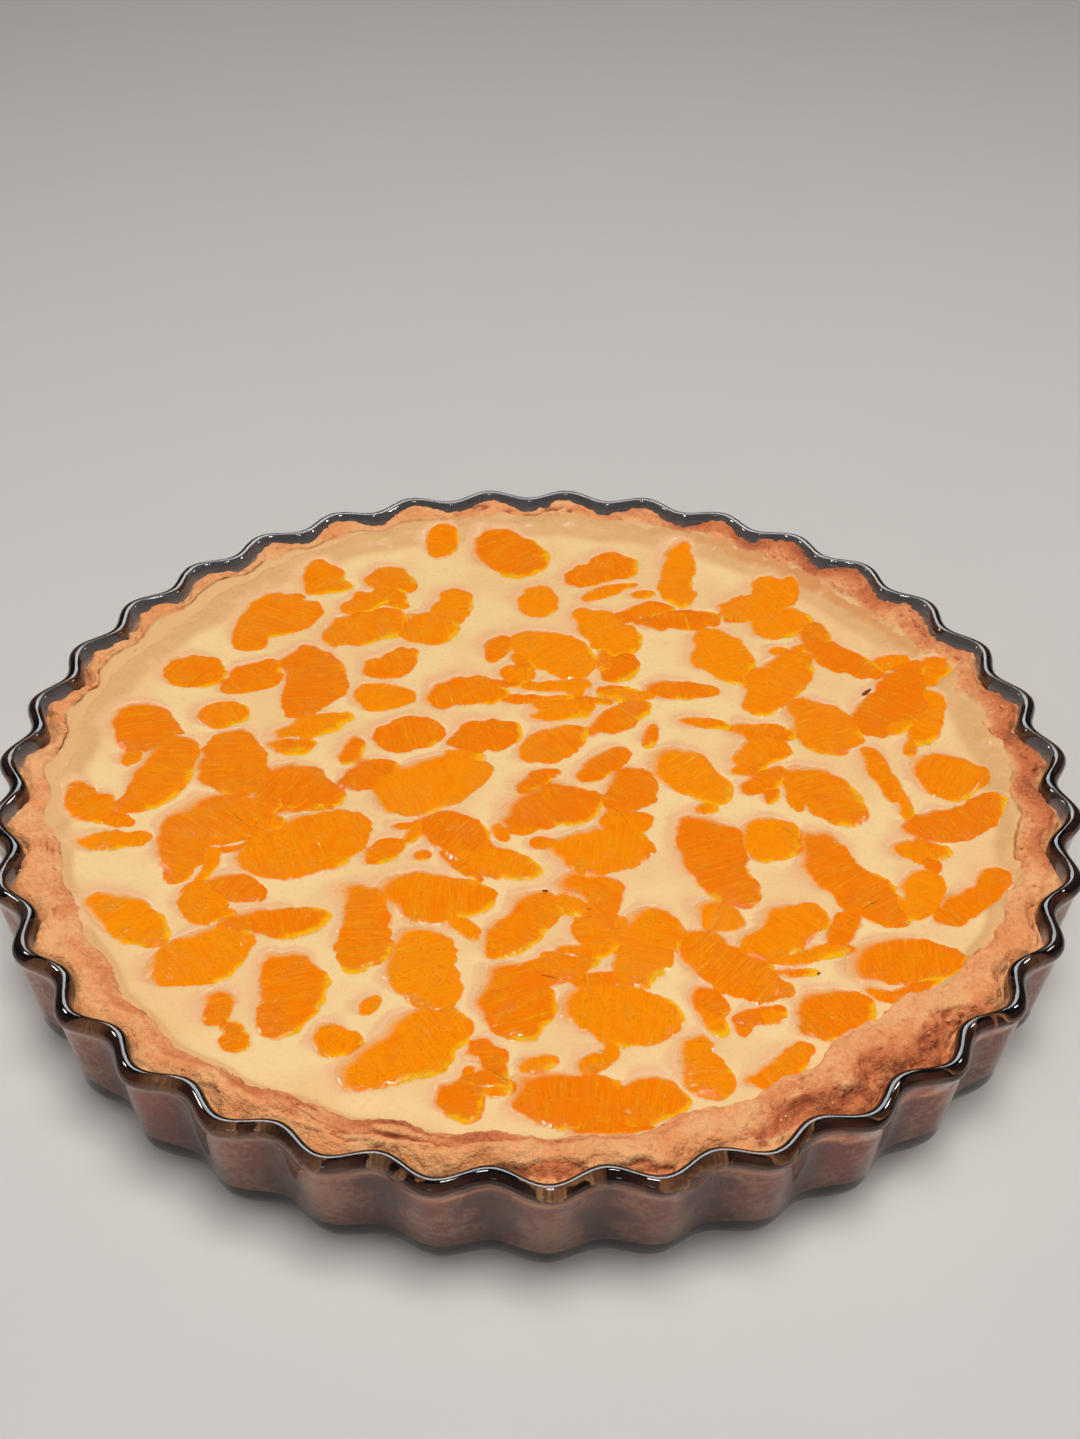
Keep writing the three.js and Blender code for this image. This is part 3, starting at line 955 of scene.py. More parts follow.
def resampled(line: np.ndarray, count: int) -> np.ndarray:
    """The same open line with that many points, evenly spaced."""
    run = np.concatenate([[0], np.cumsum(np.linalg.norm(np.diff(line, axis=0), axis=1))])
    at = np.linspace(0, run[-1], count)
    return np.stack([np.interp(at, run, line[:, k]) for k in range(line.shape[1])], axis=1)


def rounded(loop: np.ndarray, spacing: float) -> np.ndarray:
    """A smooth closed outline through the corners of a faceted one.

    Args:
        loop: The faceted outline.
        spacing: Distance between the new points.

    Returns:
        The smooth outline.
    """
    flat_enough, too_close = 0.12, 0.25
    corners = list(loop)
    number = 0
    while number < len(corners) and len(corners) > 5:
        before, here, after = corners[number - 1], corners[number], corners[(number + 1) % len(corners)]
        chord = after - before
        off = abs(chord[0] * (here - before)[1] - chord[1] * (here - before)[0])
        if off < flat_enough * np.linalg.norm(chord) or np.linalg.norm(here - before) < too_close:
            corners.pop(number)
        else:
            number += 1
    knots = np.array(corners)
    before, after, later = (np.roll(knots, k, axis=0) for k in (1, -1, -2))
    spans: List[np.ndarray] = []
    for share in np.arange(10) / 10:
        spans.append(spline(before, knots, after, later, share))
    smooth = np.stack(spans, axis=1).reshape(-1, 2)
    smooth = np.concatenate([smooth, smooth[:1]])
    length = np.linalg.norm(np.diff(smooth, axis=0), axis=1).sum()
    return resampled(smooth, max(24, round(length / spacing)) + 1)[:-1]


def outward(loop: np.ndarray) -> np.ndarray:
    """The outward direction at each point of a closed outline."""
    along = np.roll(loop, -1, axis=0) - np.roll(loop, 1, axis=0)
    along /= np.maximum(np.linalg.norm(along, axis=1, keepdims=True), 1e-9)
    return np.stack([along[:, 1], -along[:, 0]], axis=1)


def depth_inside(points: np.ndarray, loop: np.ndarray) -> np.ndarray:
    """How far each point lies inside a closed outline, less than 0 outside it."""
    start, end = loop, np.roll(loop, -1, axis=0)
    span = end - start
    length = np.maximum((span**2).sum(1), 1e-9)
    nearest = np.full(len(points), np.inf)
    inside = np.zeros(len(points), bool)
    for a, b, step, square in zip(start, end, span, length):
        share = np.clip((points - a) @ step / square, 0, 1)
        nearest = np.minimum(nearest, ((points - a - share[:, None] * step) ** 2).sum(1))
        crosses = (a[1] > points[:, 1]) != (b[1] > points[:, 1])
        if crosses.any():
            at = a[0] + (points[:, 1] - a[1]) * step[0] / (step[1] if step[1] else 1e-9)
            inside ^= crosses & (points[:, 0] < at)
    return np.where(inside, 1, -1) * np.sqrt(nearest)


# Places where the baked fruit differs from a plain segment: x, y, how far it is drawn to the right and to the
# back, and the reach of that.
NUDGES = (
    (-104, -13, -3.5, -1.5, 5), (-114, -14, -4, -1.5, 6), (-95, -20, 1.5, 0, 10), (-92, -33, 1.5, 0.5, 6),
    (-79, -21, 5, -3, 6), (-84, -32, 4, 0, 4), (-72, -13, 0, -3, 5), (-87, -37, 2, -2.5, 4),
    (-58, -35, 0, -2, 10), (-58, -15, 0, 2.5, 7), (-75, -37, 0, -2, 6), (-87, -45, 1.5, 0, 5),
    (-95, -45, 0, -1.5, 8), (-88, -56, -2, 0, 4), (-64, -47, 0, -2, 9), (-60, -56, 0, -1.5, 8),
    (-70, -52, -3, 0, 4), (-91, -66, 2, 0, 8), (-74, -71, 1, -1.3, 6), (-64, -72, 1.3, 0, 9),
    (-47, -50, 1.5, 0, 8), (-42, -40, 0, -1.2, 4), (-25, -48, 0, -1.7, 8), (-34, -63, 2, 0, 8),
    (-28, -53, 0, -1.5, 5), (-20, -57, 3.5, 0, 6), (-38, -89, 1.5, -1.5, 6), (-30, -101, 0, -1.5, 8),
    (-20, -97, 2, -2.5, 5), (-20, -101, 3, 0, 4), (-8, -105, 3, 0, 4), (-10, -48, 2, -2, 7),
    (-5, -60, 1, -1.5, 7), (2, -54, 2, 0, 5), (-9, -67, 1.3, -1.3, 6), (-32, -10, 1, -2.3, 8),
    (-22, -6, 1.5, -2, 6), (-46, -1, 0, -2.5, 4), (-42, -26, 1.5, 0, 3), (-73, -74, 0, -3, 4),
    (-71, -89, 3, 0, 3), (-49, -91, 3, 0, 3), (-46, -94, 0, -2, 3), (12, -31, 0, -1.7, 6),
    (5, -20, 1.5, -1, 4), (29, -25, -1.5, 0, 4), (10, -13, 1, -2.5, 5), (14, -2, -1, -2, 5),
    (36, -20, 2, 0, 8), (53, -33, -3, 0, 7), (49, -18, 2, 1, 5), (43, -10, 0, 1.5, 3),
    (57, -26, 0, -1.3, 5), (70, -17, 0, -2, 4), (80, -30, -2.5, 0, 5), (87, -47, -2, 1, 4),
    (104, -34, 3, -2.5, 6), (114, -38, 2.5, -1, 8), (101, -51, 0, -2, 3), (92, -47, 0, -2, 3),
    (105, -6, 0, -1.3, 6), (118, -8, 1.3, 0, 6), (89, -22, 3, -1, 4), (97, -26, 0, -1.5, 5),
    (53, -49, 3, -2, 6), (62, -43, 0, -2.7, 7), (69, -47, -2, 0, 4), (60, -60, 0, -2, 9),
    (71, -51, 2.5, 0, 4), (74, -46, 0, -4, 3), (72, -64, 3.2, 0, 5), (78, -57, 0, -1.5, 6),
    (100, -63, 2.5, 0, 5), (37, -53, 2, -2, 6), (50, -57, -2, -2, 6), (57, -70, -2, 0, 4),
    (48, -74, 0, -1.5, 6), (7, -51, 2.3, 0, 5), (11, -43, 0, -3, 6), (12, -57, 0, -2.5, 6),
    (14, -62, 2, 0, 4), (9, -69, 0, -2, 6), (20, -88, 0, -1.7, 9), (60, -79, 2, 0, 6),
    (68, -86, 0, -1.5, 7), (38, -102, 0, -3.3, 6), (43, -95, -2.5, 0, 4), (54, -96, 1.5, -3.5, 9),
    (11, -94, 5, 0, 4), (5, -114, 0, -1.5, 8), (27, -110, 0, -2.3, 6), (-60, 85, -1, 4, 6),
    (-56, 92, -2.5, 0, 4), (-66, 101, -1, 2.5, 4), (-43, 102, -1, -2.5, 4), (-40, 92, 2, -1, 5),
    (-56, 82, 3, -1, 4), (-88, 72, 2.7, 0, 8), (-64, 83, -2, -2.5, 5), (-70, 71, 3, -2, 8),
    (-80, 58, 3, -1, 4), (-45, 78, 0, 1.3, 6), (-96, 54, 0, 1.5, 5), (-89, 44, 2, 0, 4),
    (-71, 52, -2.5, 1, 5), (-63, 60, 0, -1.3, 6), (-45, 58, 1.5, -2, 5), (-48, 48, 2, 0, 3),
    (-38, 48, 2, -2, 6), (-33, 58, 2, 1.5, 4), (-51, 38, 2.7, 0, 4), (-113, 28, 1.3, -1, 6),
    (-107, 15, -1, -3, 6), (-94, 15, 2.5, 1, 5), (-88, 16, 1.3, 0, 5), (-91, 30, 1.7, 0, 4),
    (-86, 24, 0, -2.5, 6), (-63, 20, 0, -3, 5), (-36, 15, 0, -1.3, 7), (-26, 22, 1.5, -1, 3),
    (-10, 27, -1, -1.5, 6), (-14, 15, 0, -2.3, 7), (-33, 10, 0, -1.6, 8), (-14, 7, -2, -1, 5),
    (-50, 3, 2, 0, 4), (-60, 6, 0, -1.3, 7), (-53, 1, -2, -1.5, 4), (-30, 112, 0.5, 5, 7),
    (0, 108, 1.3, 0, 8), (-27, 31, 0, -2, 4), (12, 106, 1.3, -2, 6), (27, 107, -2, -2, 4),
    (26, 98, 2, -2, 5), (35, 100, 2, 0, 10), (43, 95, 1.3, 0, 10), (57, 93, 4, -4, 7),
    (73, 88, 1.5, 0, 8), (77, 79, -2.5, -1, 4), (27, 76, -3, 0, 4), (11, 72, 1.7, 0.5, 6),
    (18, 60, 0, -2, 4), (16, 54, 2, 0, 5), (5, 48, 0, -1.3, 8), (42, 64, 2.7, 0, 7),
    (55, 66, 2, 1, 6), (56, 40, 2, 1, 4), (60, 34, 0, -2.5, 4), (84, 64, -2, -1.5, 6),
    (91, 46, 1.7, -1, 6), (104.5, 35, 2.5, 0, 5), (80, 38, -0.5, -1.2, 5), (72, 16, 0, -1.8, 7),
    (51, 15, 2.3, 0, 5), (53, 2, 2, 1, 3), (42, 12, 1.5, 1.5, 5), (28, 5, -2.5, -2, 5),
    (5, 25, -0.5, -1.5, 6), (108, 0, 0, -1.3, 7), (39, -97, -1.5, 0, 9), (46, -48, -2, -2, 6),
    (62, -51, -2, -0.5, 8), (76, -46, 1, 2.5, 5), (100, -48, 2, 2, 4), (114, -30, 0, -2.5, 5),
    (85, -69.5, 0, -1.5, 8), (106, -2, 0, -1.3, 6), (103, -20, 0, -0.8, 9), (-61, 86, 0, 3, 5),
    (-63, 82, -2, -2, 4), (-69.5, 51, -1.3, 0, 5), (-50, 37, -1, 0, 4), (-36, 36, 1.3, 0, 4),
    (-43, 31, 0, -1, 5), (-69, 19, -1.5, 0, 4), (-30, 109, 0, 2.5, 4), (-28, -35.5, 0, 1.3, 5),
    (-9, -69, -1.5, 1, 5), (5, 11.5, 0, -1, 6), (69, 98, 0, -2, 6), (-18, 14.5, 0, -1.3, 6),
)


def nudged(loop: np.ndarray) -> np.ndarray:
    """An outline drawn aside where the baked fruit differs from a plain segment."""
    moved = loop.copy()
    for x, y, right, back, reach in NUDGES:
        away = ((loop - (x, y)) ** 2).sum(1) / reach**2
        moved += np.exp(-away)[:, None] * (right, back)
    return moved


class FruitKind(Enum):
    """How a piece of fruit lies in the custard."""

    WHOLE = (0.36, 1.0, 1.0, 1.25)
    TORN = (0.28, 1.3, 0.8, 1.15)
    SHRED = (0.2, 1.2, 0.5, 0.8)
    SKIN = (0.5, 1.0, 0.1, 0.0)

    def __init__(self, rise: float, ragged: float, veil: float, swelling: float) -> None:
        """Keeps the height over the custard, the edge's raggedness, the veil's reach and the swelling."""
        self.rise = rise
        self.ragged = ragged
        self.veil = veil
        self.swelling = swelling


@dataclass
class FruitPiece:
    """One piece of fruit, from its outline at the custard's surface."""

    outline: np.ndarray
    kind: FruitKind
    seed: int
    level: float
    crust: CrustShell
    skirt: float = 0.7
    keel: float = 2.6
    spacing: float = 0.5
    row_step: float = 0.5
    fewest_rows: int = 12
    most_rows: int = 84
    column_step: float = 0.85
    fewest_columns: int = 6
    most_columns: int = 20

    # The side on which the custard laps over the fruit.
    DROWNED = np.array([-0.8, 0.6])

    def __post_init__(self) -> None:
        """Rounds the outline and frays it."""
        loop = nudged(rounded(self.outline, self.spacing))
        spots = np.column_stack([loop, np.full(len(loop), 31.0 * self.seed)])
        fray = 1.1 * grain(spots, 8.0, 101) + 0.8 * grain(spots, 3.2, 102) + 0.5 * grain(spots, 1.3, 103)
        fray = fray - 1.3 * np.clip(grain(spots, 4.5, 104) - 0.35, 0, 1)
        small = float(np.clip(math.sqrt(area_of(loop)) / 13, 0.3, 1))
        spread = fray * small * self.kind.ragged + self.kind.swelling
        self.loop = loop + outward(loop) * spread[:, None]

    def build(
        self, others: Sequence["FruitPiece"]
    ) -> Tuple[np.ndarray, List[List[int]], Dict[str, np.ndarray]]:
        """Shapes the piece.

        Args:
            others: All the fruit: where a piece lies on another, no custard veils it.

        Returns:
            Its points, its faces and its marks.
        """
        edge = self.loop + outward(self.loop) * self.skirt
        apart = np.linalg.norm(edge[:, None] - edge[None], axis=-1)
        first, second = sorted(divmod(int(apart.argmax()), len(edge)))
        right = edge[first : second + 1]
        left = np.concatenate([edge[second:], edge[: first + 1]])[::-1]
        length = np.linalg.norm(np.diff(right, axis=0), axis=1).sum()
        length = (length + np.linalg.norm(np.diff(left, axis=0), axis=1).sum()) / 2
        rows = int(np.clip(round(length / self.row_step), self.fewest_rows, self.most_rows))
        left, right = resampled(left, rows + 1), resampled(right, rows + 1)
        width = np.linalg.norm(left - right, axis=1)
        columns = round(width.max() / self.column_step)
        columns = int(np.clip(columns, self.fewest_columns, self.most_columns))
        share = 0.5 - 0.5 * np.cos(np.pi * np.arange(columns + 1) / columns)
        grid = left[1:-1, None] + (right - left)[1:-1, None] * share[None, :, None]
        along = np.repeat(np.arange(1, rows) / rows * length, columns + 1)
        across = ((share[None] - 0.5) * width[1:-1, None]).ravel()
        flat = np.concatenate([grid.reshape(-1, 2), left[:1], left[-1:]])
        along = np.concatenate([along, [0.0, length]])
        across = np.concatenate([across, [0.0, 0.0]])
        fibre = np.column_stack([along, across, np.full(len(flat), 17.0 * self.seed)])
        depth = np.maximum(depth_inside(flat, edge), 0)
        height = self._height(flat, depth, fibre)
        tag = np.full(len(flat), self.seed * 13.7)
        patches = grain(np.column_stack([flat, tag]), 8.0, 121, 2)
        side = (flat - flat.mean(0)) @ self.DROWNED
        side = side / max(float(np.abs(side).max()), 1e-6)
        reach = self.kind.veil * (0.15 + 2.7 * ease(-0.25, 0.9, side)) * (1 + 0.9 * patches)
        reach = np.maximum(reach, 0.12) * (1 - 0.45 * ease(-20, 60, flat[:, 1]))
        veil = np.clip(1.1 - (depth - self.skirt) / reach, 0, 1.1)
        veil = veil * ease(0.8, -0.3, self._cover(flat, others))
        thin = np.exp(-(((depth - self.skirt) / 2.0) ** 2))
        thin = thin * ease(0.3, -0.6, side) * ease(-0.5, 0.3, patches)
        spine = (left + right)[1:-1] / 2
        middle = np.column_stack([spine, self.level - self.keel + self.crust.bed(spine)])
        points = np.concatenate([np.column_stack([flat, height]), middle])
        under = len(middle)
        marks = {
            "fibre": np.concatenate([fibre, np.zeros((under, 3))]),
            "veil": np.concatenate([veil, np.ones(under)]),
            "thin": np.concatenate([thin, np.ones(under)]),
            "tint": np.full(len(points), 3.0 if self.kind is FruitKind.SKIN else (self.seed * 0.618) % 1),
        }
        return points, self._faces(rows, columns, len(flat)), marks

    def _cover(self, flat: np.ndarray, others: Sequence["FruitPiece"]) -> np.ndarray:
        """How deep each point lies in the outline of another piece."""
        cover = np.full(len(flat), -1.0)
        for other in others:
            apart = (other.loop.min(0) > flat.max(0)) | (other.loop.max(0) < flat.min(0))
            if other is not self and not apart.any():
                cover = np.maximum(cover, depth_inside(flat, other.loop))
        return cover

    def _height(self, flat: np.ndarray, depth: np.ndarray, fibre: np.ndarray) -> np.ndarray:
        """Height of the piece's back: a low pillow with the juice sacs' ridges over it."""
        rise = self.kind.rise * (1 + 0.3 * math.sin(2.4 * self.seed))
        shoulder = min(3.6, max(1.6, 0.8 * float(depth.max())))
        pillow = 1 - (1 - np.clip(depth / shoulder, 0, 1)) ** 1.8
        sacs = fibre * np.array([1.0, 0.12, 1.0])
        ridges = 0.05 * grain(sacs, 0.9, 111, 2) + 0.07 * grain(sacs, 2.4, 112)
        spots = np.column_stack([flat, np.full(len(flat), 5.0 * self.seed)])
        dents = 0.22 * grain(spots, 7.0, 113) + 0.1 * grain(spots, 2.5, 114)
        base = -0.3
        uneven = (ridges + dents) * ease(0.5, 1.8, depth)
        return self.level + self.crust.bed(flat) + base + (rise - base) * pillow + uneven

    @staticmethod
    def _faces(rows: int, columns: int, top: int) -> List[List[int]]:
        """Faces of the back, and of the keel under it that closes the piece."""
        wide = columns + 1
        start, end = top - 2, top - 1
        row, column = np.mgrid[0 : rows - 2, 0:columns]
        near = row * wide + column
        faces = np.stack([near, near + wide, near + wide + 1, near + 1], axis=-1).reshape(-1, 4).tolist()
        last = (rows - 2) * wide
        for column in range(columns):
            faces.append([start, column, column + 1])
            faces.append([end, last + column + 1, last + column])
        for row in range(rows - 2):
            here, there = row * wide, (row + 1) * wide
            keel = top + row
            faces.append([here, keel, keel + 1, there])
            faces.append([here + columns, there + columns, keel + 1, keel])
        faces += [[start, top, 0], [start, columns, top]]
        faces += [[end, last, top + rows - 2], [end, top + rows - 2, last + columns]]
        return faces


@dataclass
class Mandarins(Piece):
    """All the fruit: whole segments, torn pieces and shreds."""

    nodes: Dict[str, bpy.types.Object]
    crust: CrustShell
    level: float = 29.0
    cut: float = 29.02
    least_area: float = 6.0
    bit_corners: int = 12
    first_torn_seed: int = 100
    first_bit_seed: int = 200
    whole: List[FruitPiece] = field(default_factory=list)
    torn: List[FruitPiece] = field(default_factory=list)

    # Shreds and slivers too small for the frame: x, y, turn in degrees, length, width.
    SHREDS = (
        (110.5, 49.5, 50, 15, 8),
        (-73, -17, -35, 12, 5),
        (-83, -31, 70, 10, 5),
        (-116, -8, 130, 11, 7),
        (17.5, -116.4, 2, 19, 3.4),
        (4, 36.5, 8, 12, 2.5),
        (14, 36, -10, 13, 2.2),
        (25, 38, 5, 13, 2.4),
        (45, 26.5, -12, 15, 4),
        (30.5, 20.5, 80, 11, 4),
        (-37.5, -80.5, 50, 6, 3),
        (82, -75, -20, 11, 3),
        (2, 4, 20, 8, 3),
        (-9, -20, -60, 7, 3),
        (57, 7, 35, 9, 2.6),
        (95, -8, 100, 15, 2),
        (62, -67.5, 0, 8, 2.5),
        (88, -73, 22, 15, 4),
        (30, 88, 5, 6, 4),
        (-31.5, -16.5, 10, 10, 3),
        (68, 60, 0, 5, 3),
        (74, 61.5, 20, 5, 3),
        (-28, -29, 0, 3.6, 3.2),
        (1, -98, 15, 8, 4),
        (-72, -84, 60, 8, 5),
        (98, -28, 85, 7, 3),
        (41, -84, -55, 10, 4),
        (48, -84, 75, 8, 4),
        (53, -82, 10, 7, 4),
        (-42, 84, -70, 12, 6),
        (63, 21, 10, 14, 4),
        (9, -44.5, -20, 8, 6),
        (17, -46, 10, 8, 7),
        (19.5, -56, 80, 12, 4),
        (12, -60.5, 0, 14, 5),
        (15, -71, 0, 12, 5),
        (65, -61, 12, 20, 4),
        (66.5, -2, 97, 16, 4),
        (61, -3, 80, 8, 2.5),
        (43, -10.5, 10, 6, 3),
        (1.5, -23.5, 0, 5, 4),
        (-44, 80.5, -10, 12, 3),
        (-106.5, 10, 75, 9, 4),
        (-63, 16.5, 0, 8, 5),
        (-19, 13.5, 0, 10, 3.5),
        (-40, 8.5, 0, 6, 2.5),
        (-8, 43.5, 0, 12, 2.5),
        (1, 42.5, 3, 11, 3.5),
        (-4, 36.5, 0, 13, 3.5),
        (6, 29.5, 3, 16, 2.5),
        (-4, 53.5, -50, 8, 3),
        (-60, -12.3, 2, 16, 4),
        (-67, -17, -40, 8, 5),
        (-76, -24.5, 25, 12, 4),
        (-83.5, -35, 85, 11, 4),
        (-76, -51.5, 25, 12, 3),
        (-18.5, -32.5, -45, 16, 3.5),
        (-19.5, -53, -60, 12, 3),
        (-4, -18.5, 5, 8, 4),
        (-1, 0, 40, 11, 5),
        (-31, -20, 80, 8, 3),
        (-17, -101, 60, 7, 4),
        (-9, -105.5, 20, 6, 3),
        (18, 56, 80, 11, 5),
        (27, 76, 10, 6, 4),
        (43, 86, 80, 8, 3),
        (79.5, 70.5, -40, 13, 5),
        (57, 75.5, 0, 7, 2),
        (54.5, 7, 30, 8, 4),
        (98, 53.5, 0, 10, 4),
        (97.5, 26, 30, 9, 4),
        (99.5, 17, 80, 7, 3),
        (20, 41, 0, 8, 2.5),
    )

    # Dark bits of dried skin: x, y, turn in degrees, length, width.
    SKINS = (
        (89.8, 42, 62, 5, 1.3),
        (66.2, -67.9, 0, 0.9, 0.9),
        (2.5, -41.3, 30, 1.0, 0.8),
    )

    @property
    def pieces(self) -> List[FruitPiece]:
        """Every piece of fruit."""
        return self.whole + self.torn

    def gather(self) -> None:
        """Reads the outlines of the fruit from the frame and adds the shreds."""
        names = sorted(name for name in self.nodes if name.startswith("mandarin_"))
        for number, name in enumerate(names):
            loop = max(slice_outlines(self.nodes[name], self.cut), key=area_of)
            self.whole.append(FruitPiece(loop, FruitKind.WHOLE, number + 1, self.level, self.crust))
        for loop in slice_outlines(self.nodes["filling"], self.cut):
            if area_of(loop) > self.least_area:
                seed = self.first_torn_seed + len(self.torn)
                self.torn.append(FruitPiece(loop, FruitKind.TORN, seed, self.level, self.crust))
        bits = [(bit, FruitKind.SHRED) for bit in self.SHREDS]
        bits += [(bit, FruitKind.SKIN) for bit in self.SKINS]
        turn = np.linspace(0, 2 * math.pi, self.bit_corners, endpoint=False)
        for number, ((x, y, degrees, length, width), kind) in enumerate(bits):
            along, across = length / 2 * np.cos(turn), width / 2 * np.sin(turn)
            cos, sin = math.cos(math.radians(degrees)), math.sin(math.radians(degrees))
            loop = np.column_stack([x + along * cos - across * sin, y + along * sin + across * cos])
            seed = self.first_bit_seed + number
            self.torn.append(FruitPiece(loop, kind, seed, self.level, self.crust))

    def _joined(self, name: str, pieces: List[FruitPiece]) -> bpy.types.Object:
        """One mesh of several pieces of fruit."""
        points: List[np.ndarray] = []
        faces: List[List[int]] = []
        marks: Dict[str, List[np.ndarray]] = {}
        count = 0
        for piece in pieces:
            spots, sides, notes = piece.build(self.pieces)
            points.append(spots)
            faces += [[corner + count for corner in side] for side in sides]
            for mark, values in notes.items():
                marks.setdefault(mark, []).append(values)
            count += len(spots)
        joined = {mark: np.concatenate(values) for mark, values in marks.items()}
        return new_mesh(name, np.concatenate(points), faces, joined)

    def build(self) -> List[bpy.types.Object]:
        """Makes and dresses the fruit."""
        finish = MandarinFinish().make()
        whole = self._joined("mandarin_segments", self.whole)
        torn = self._joined("torn_mandarin", self.torn)
        for piece in (whole, torn):
            piece.data.materials.append(finish)
        names = [name for name in self.nodes if name.startswith("mandarin_")]
        return [self.settle(whole, "mandarin", *names), self.settle(torn, "mandarin")]


@dataclass
class Custard(Piece):
    """The set custard, which dips under the fruit and climbs a little at the crust."""

    crust: CrustShell
    fruit: Mandarins
    # An even count, so that no point lies at the centre.
    steps: int = 290
    into_crust: float = 7.0
    sink: float = 1.7
    reach: float = 7.0

    # Where the film on the crust is toasted: how much, compass angle and spread in degrees.
    TOASTED = ((0.85, 48, 34),)

    def build(self) -> bpy.types.Object:
        """Shapes and dresses the custard."""
        line = np.linspace(-1, 1, self.steps)
        across, along = (grid.ravel() for grid in np.meshgrid(line, line, indexing="xy"))
        sideways = np.abs(across) >= np.abs(along)
        longer = np.where(sideways, across, along)
        shorter = np.where(sideways, along, -across)
        sector = np.where(sideways, 0, np.pi / 2) + np.where(longer < 0, np.pi, 0)
        angle = sector + shorter / longer * np.pi / 4
        limit = self.crust.custard_edge(angle)
        radius = np.abs(longer) * (limit + self.into_crust)
        flat = np.column_stack([radius * np.cos(angle), radius * np.sin(angle)])
        depth, side = self._fruit_depth(flat)
        spots = np.column_stack([flat, np.zeros(len(flat))])
        climb = self.crust.bed(flat)
        near_crust = ease(0.12, 1.2, climb)
        height = self.fruit.level + 0.28 * grain(spots, 26.0, 131, 2) + 0.07 * grain(spots, 3.0, 132)
        height = height + near_crust * (0.2 * grain(spots, 3.0, 133, 3) + 0.05)
        height = height + climb * (1 + 0.25 * grain(spots, 6.0, 136, 2))
        height = height + 0.1 * np.exp(-np.abs(depth) / 1.1) * (1 + 0.9 * grain(spots, 4.0, 134))
        height = height - self.sink * ease(0.0, 1.8, depth) - 2.0 * ease(4.0, self.into_crust, radius - limit)
        bleed = 0.35 + 2.4 * ease(-0.2, 0.9, side)
        stain = np.where(depth > 0, 1.0, np.exp(depth / bleed)) * (1 + 0.35 * grain(spots, 9.0, 135))
        stain = stain * (0.25 + 0.75 * ease(-0.5, 0.4, side))
        toast = ease(1.0, 2.3, climb) * swells(angle, self.TOASTED)
        marks = {"stain": stain, "edge": near_crust, "toast": toast}
        points, faces, marks = self._closed(np.column_stack([flat, height]), marks)
        custard = new_mesh("custard", points, faces, marks)
        custard.data.materials.append(CustardFinish().make())
        return self.settle(custard, "custard", "filling")

    def _fruit_depth(self, flat: np.ndarray) -> Tuple[np.ndarray, np.ndarray]:
        """How each point lies to the nearest fruit.

        Args:
            flat: The points, n x 2.

        Returns:
            How far each lies inside the fruit, less than 0 outside it, and how far on its drowned side.
        """
        depth = np.full(len(flat), -self.reach)
        side = np.zeros(len(flat))
        for piece in self.fruit.pieces:
            low, high = piece.loop.min(0) - self.reach, piece.loop.max(0) + self.reach
            near = np.nonzero(((flat > low) & (flat < high)).all(1))[0]
            here = depth_inside(flat[near], piece.loop)
            closer = near[here > depth[near]]
            off = flat[closer] - piece.loop.mean(0)
            side[closer] = off @ piece.DROWNED / np.maximum(np.linalg.norm(off, axis=1), 1e-6)
            depth[near] = np.maximum(depth[near], here)
        return depth, side

    def _closed(
        self, top: np.ndarray, marks: Dict[str, np.ndarray]
    ) -> Tuple[np.ndarray, List[List[int]], Dict[str, np.ndarray]]:
        """Closes the custard's body under its surface.

        Args:
            top: The surface's points, row by row.
            marks: Their marks.

        Returns:
            All the points, the faces and the marks.
        """
        count = self.steps
        grid = np.arange(count * count).reshape(count, count)
        corners = [grid[:-1, :-1], grid[:-1, 1:], grid[1:, 1:], grid[1:, :-1]]
        faces = np.stack(corners, axis=-1).reshape(-1, 4).tolist()
        sides = [grid[0, :-1], grid[:-1, -1], grid[-1, :0:-1], grid[:0:-1, 0]]
        rim = np.concatenate(sides).tolist()
        angle = np.arctan2(top[rim, 1], top[rim, 0])
        foot_radius, foot = self.crust.floor_radius - 0.7, self.crust.floor_top + 0.4
        lower = np.column_stack([np.cos(angle), np.sin(angle), np.full(len(rim), foot)])
        lower[:, :2] *= foot_radius
        base = len(top)
        for number, corner in enumerate(rim):
            after = (number + 1) % len(rim)
            faces.append([corner, base + number, base + after, rim[after]])
        faces.append([base + number for number in range(len(rim))][::-1])
        extra = {name: np.concatenate([values, np.zeros(len(rim))]) for name, values in marks.items()}
        return np.concatenate([top, lower]), faces, extra


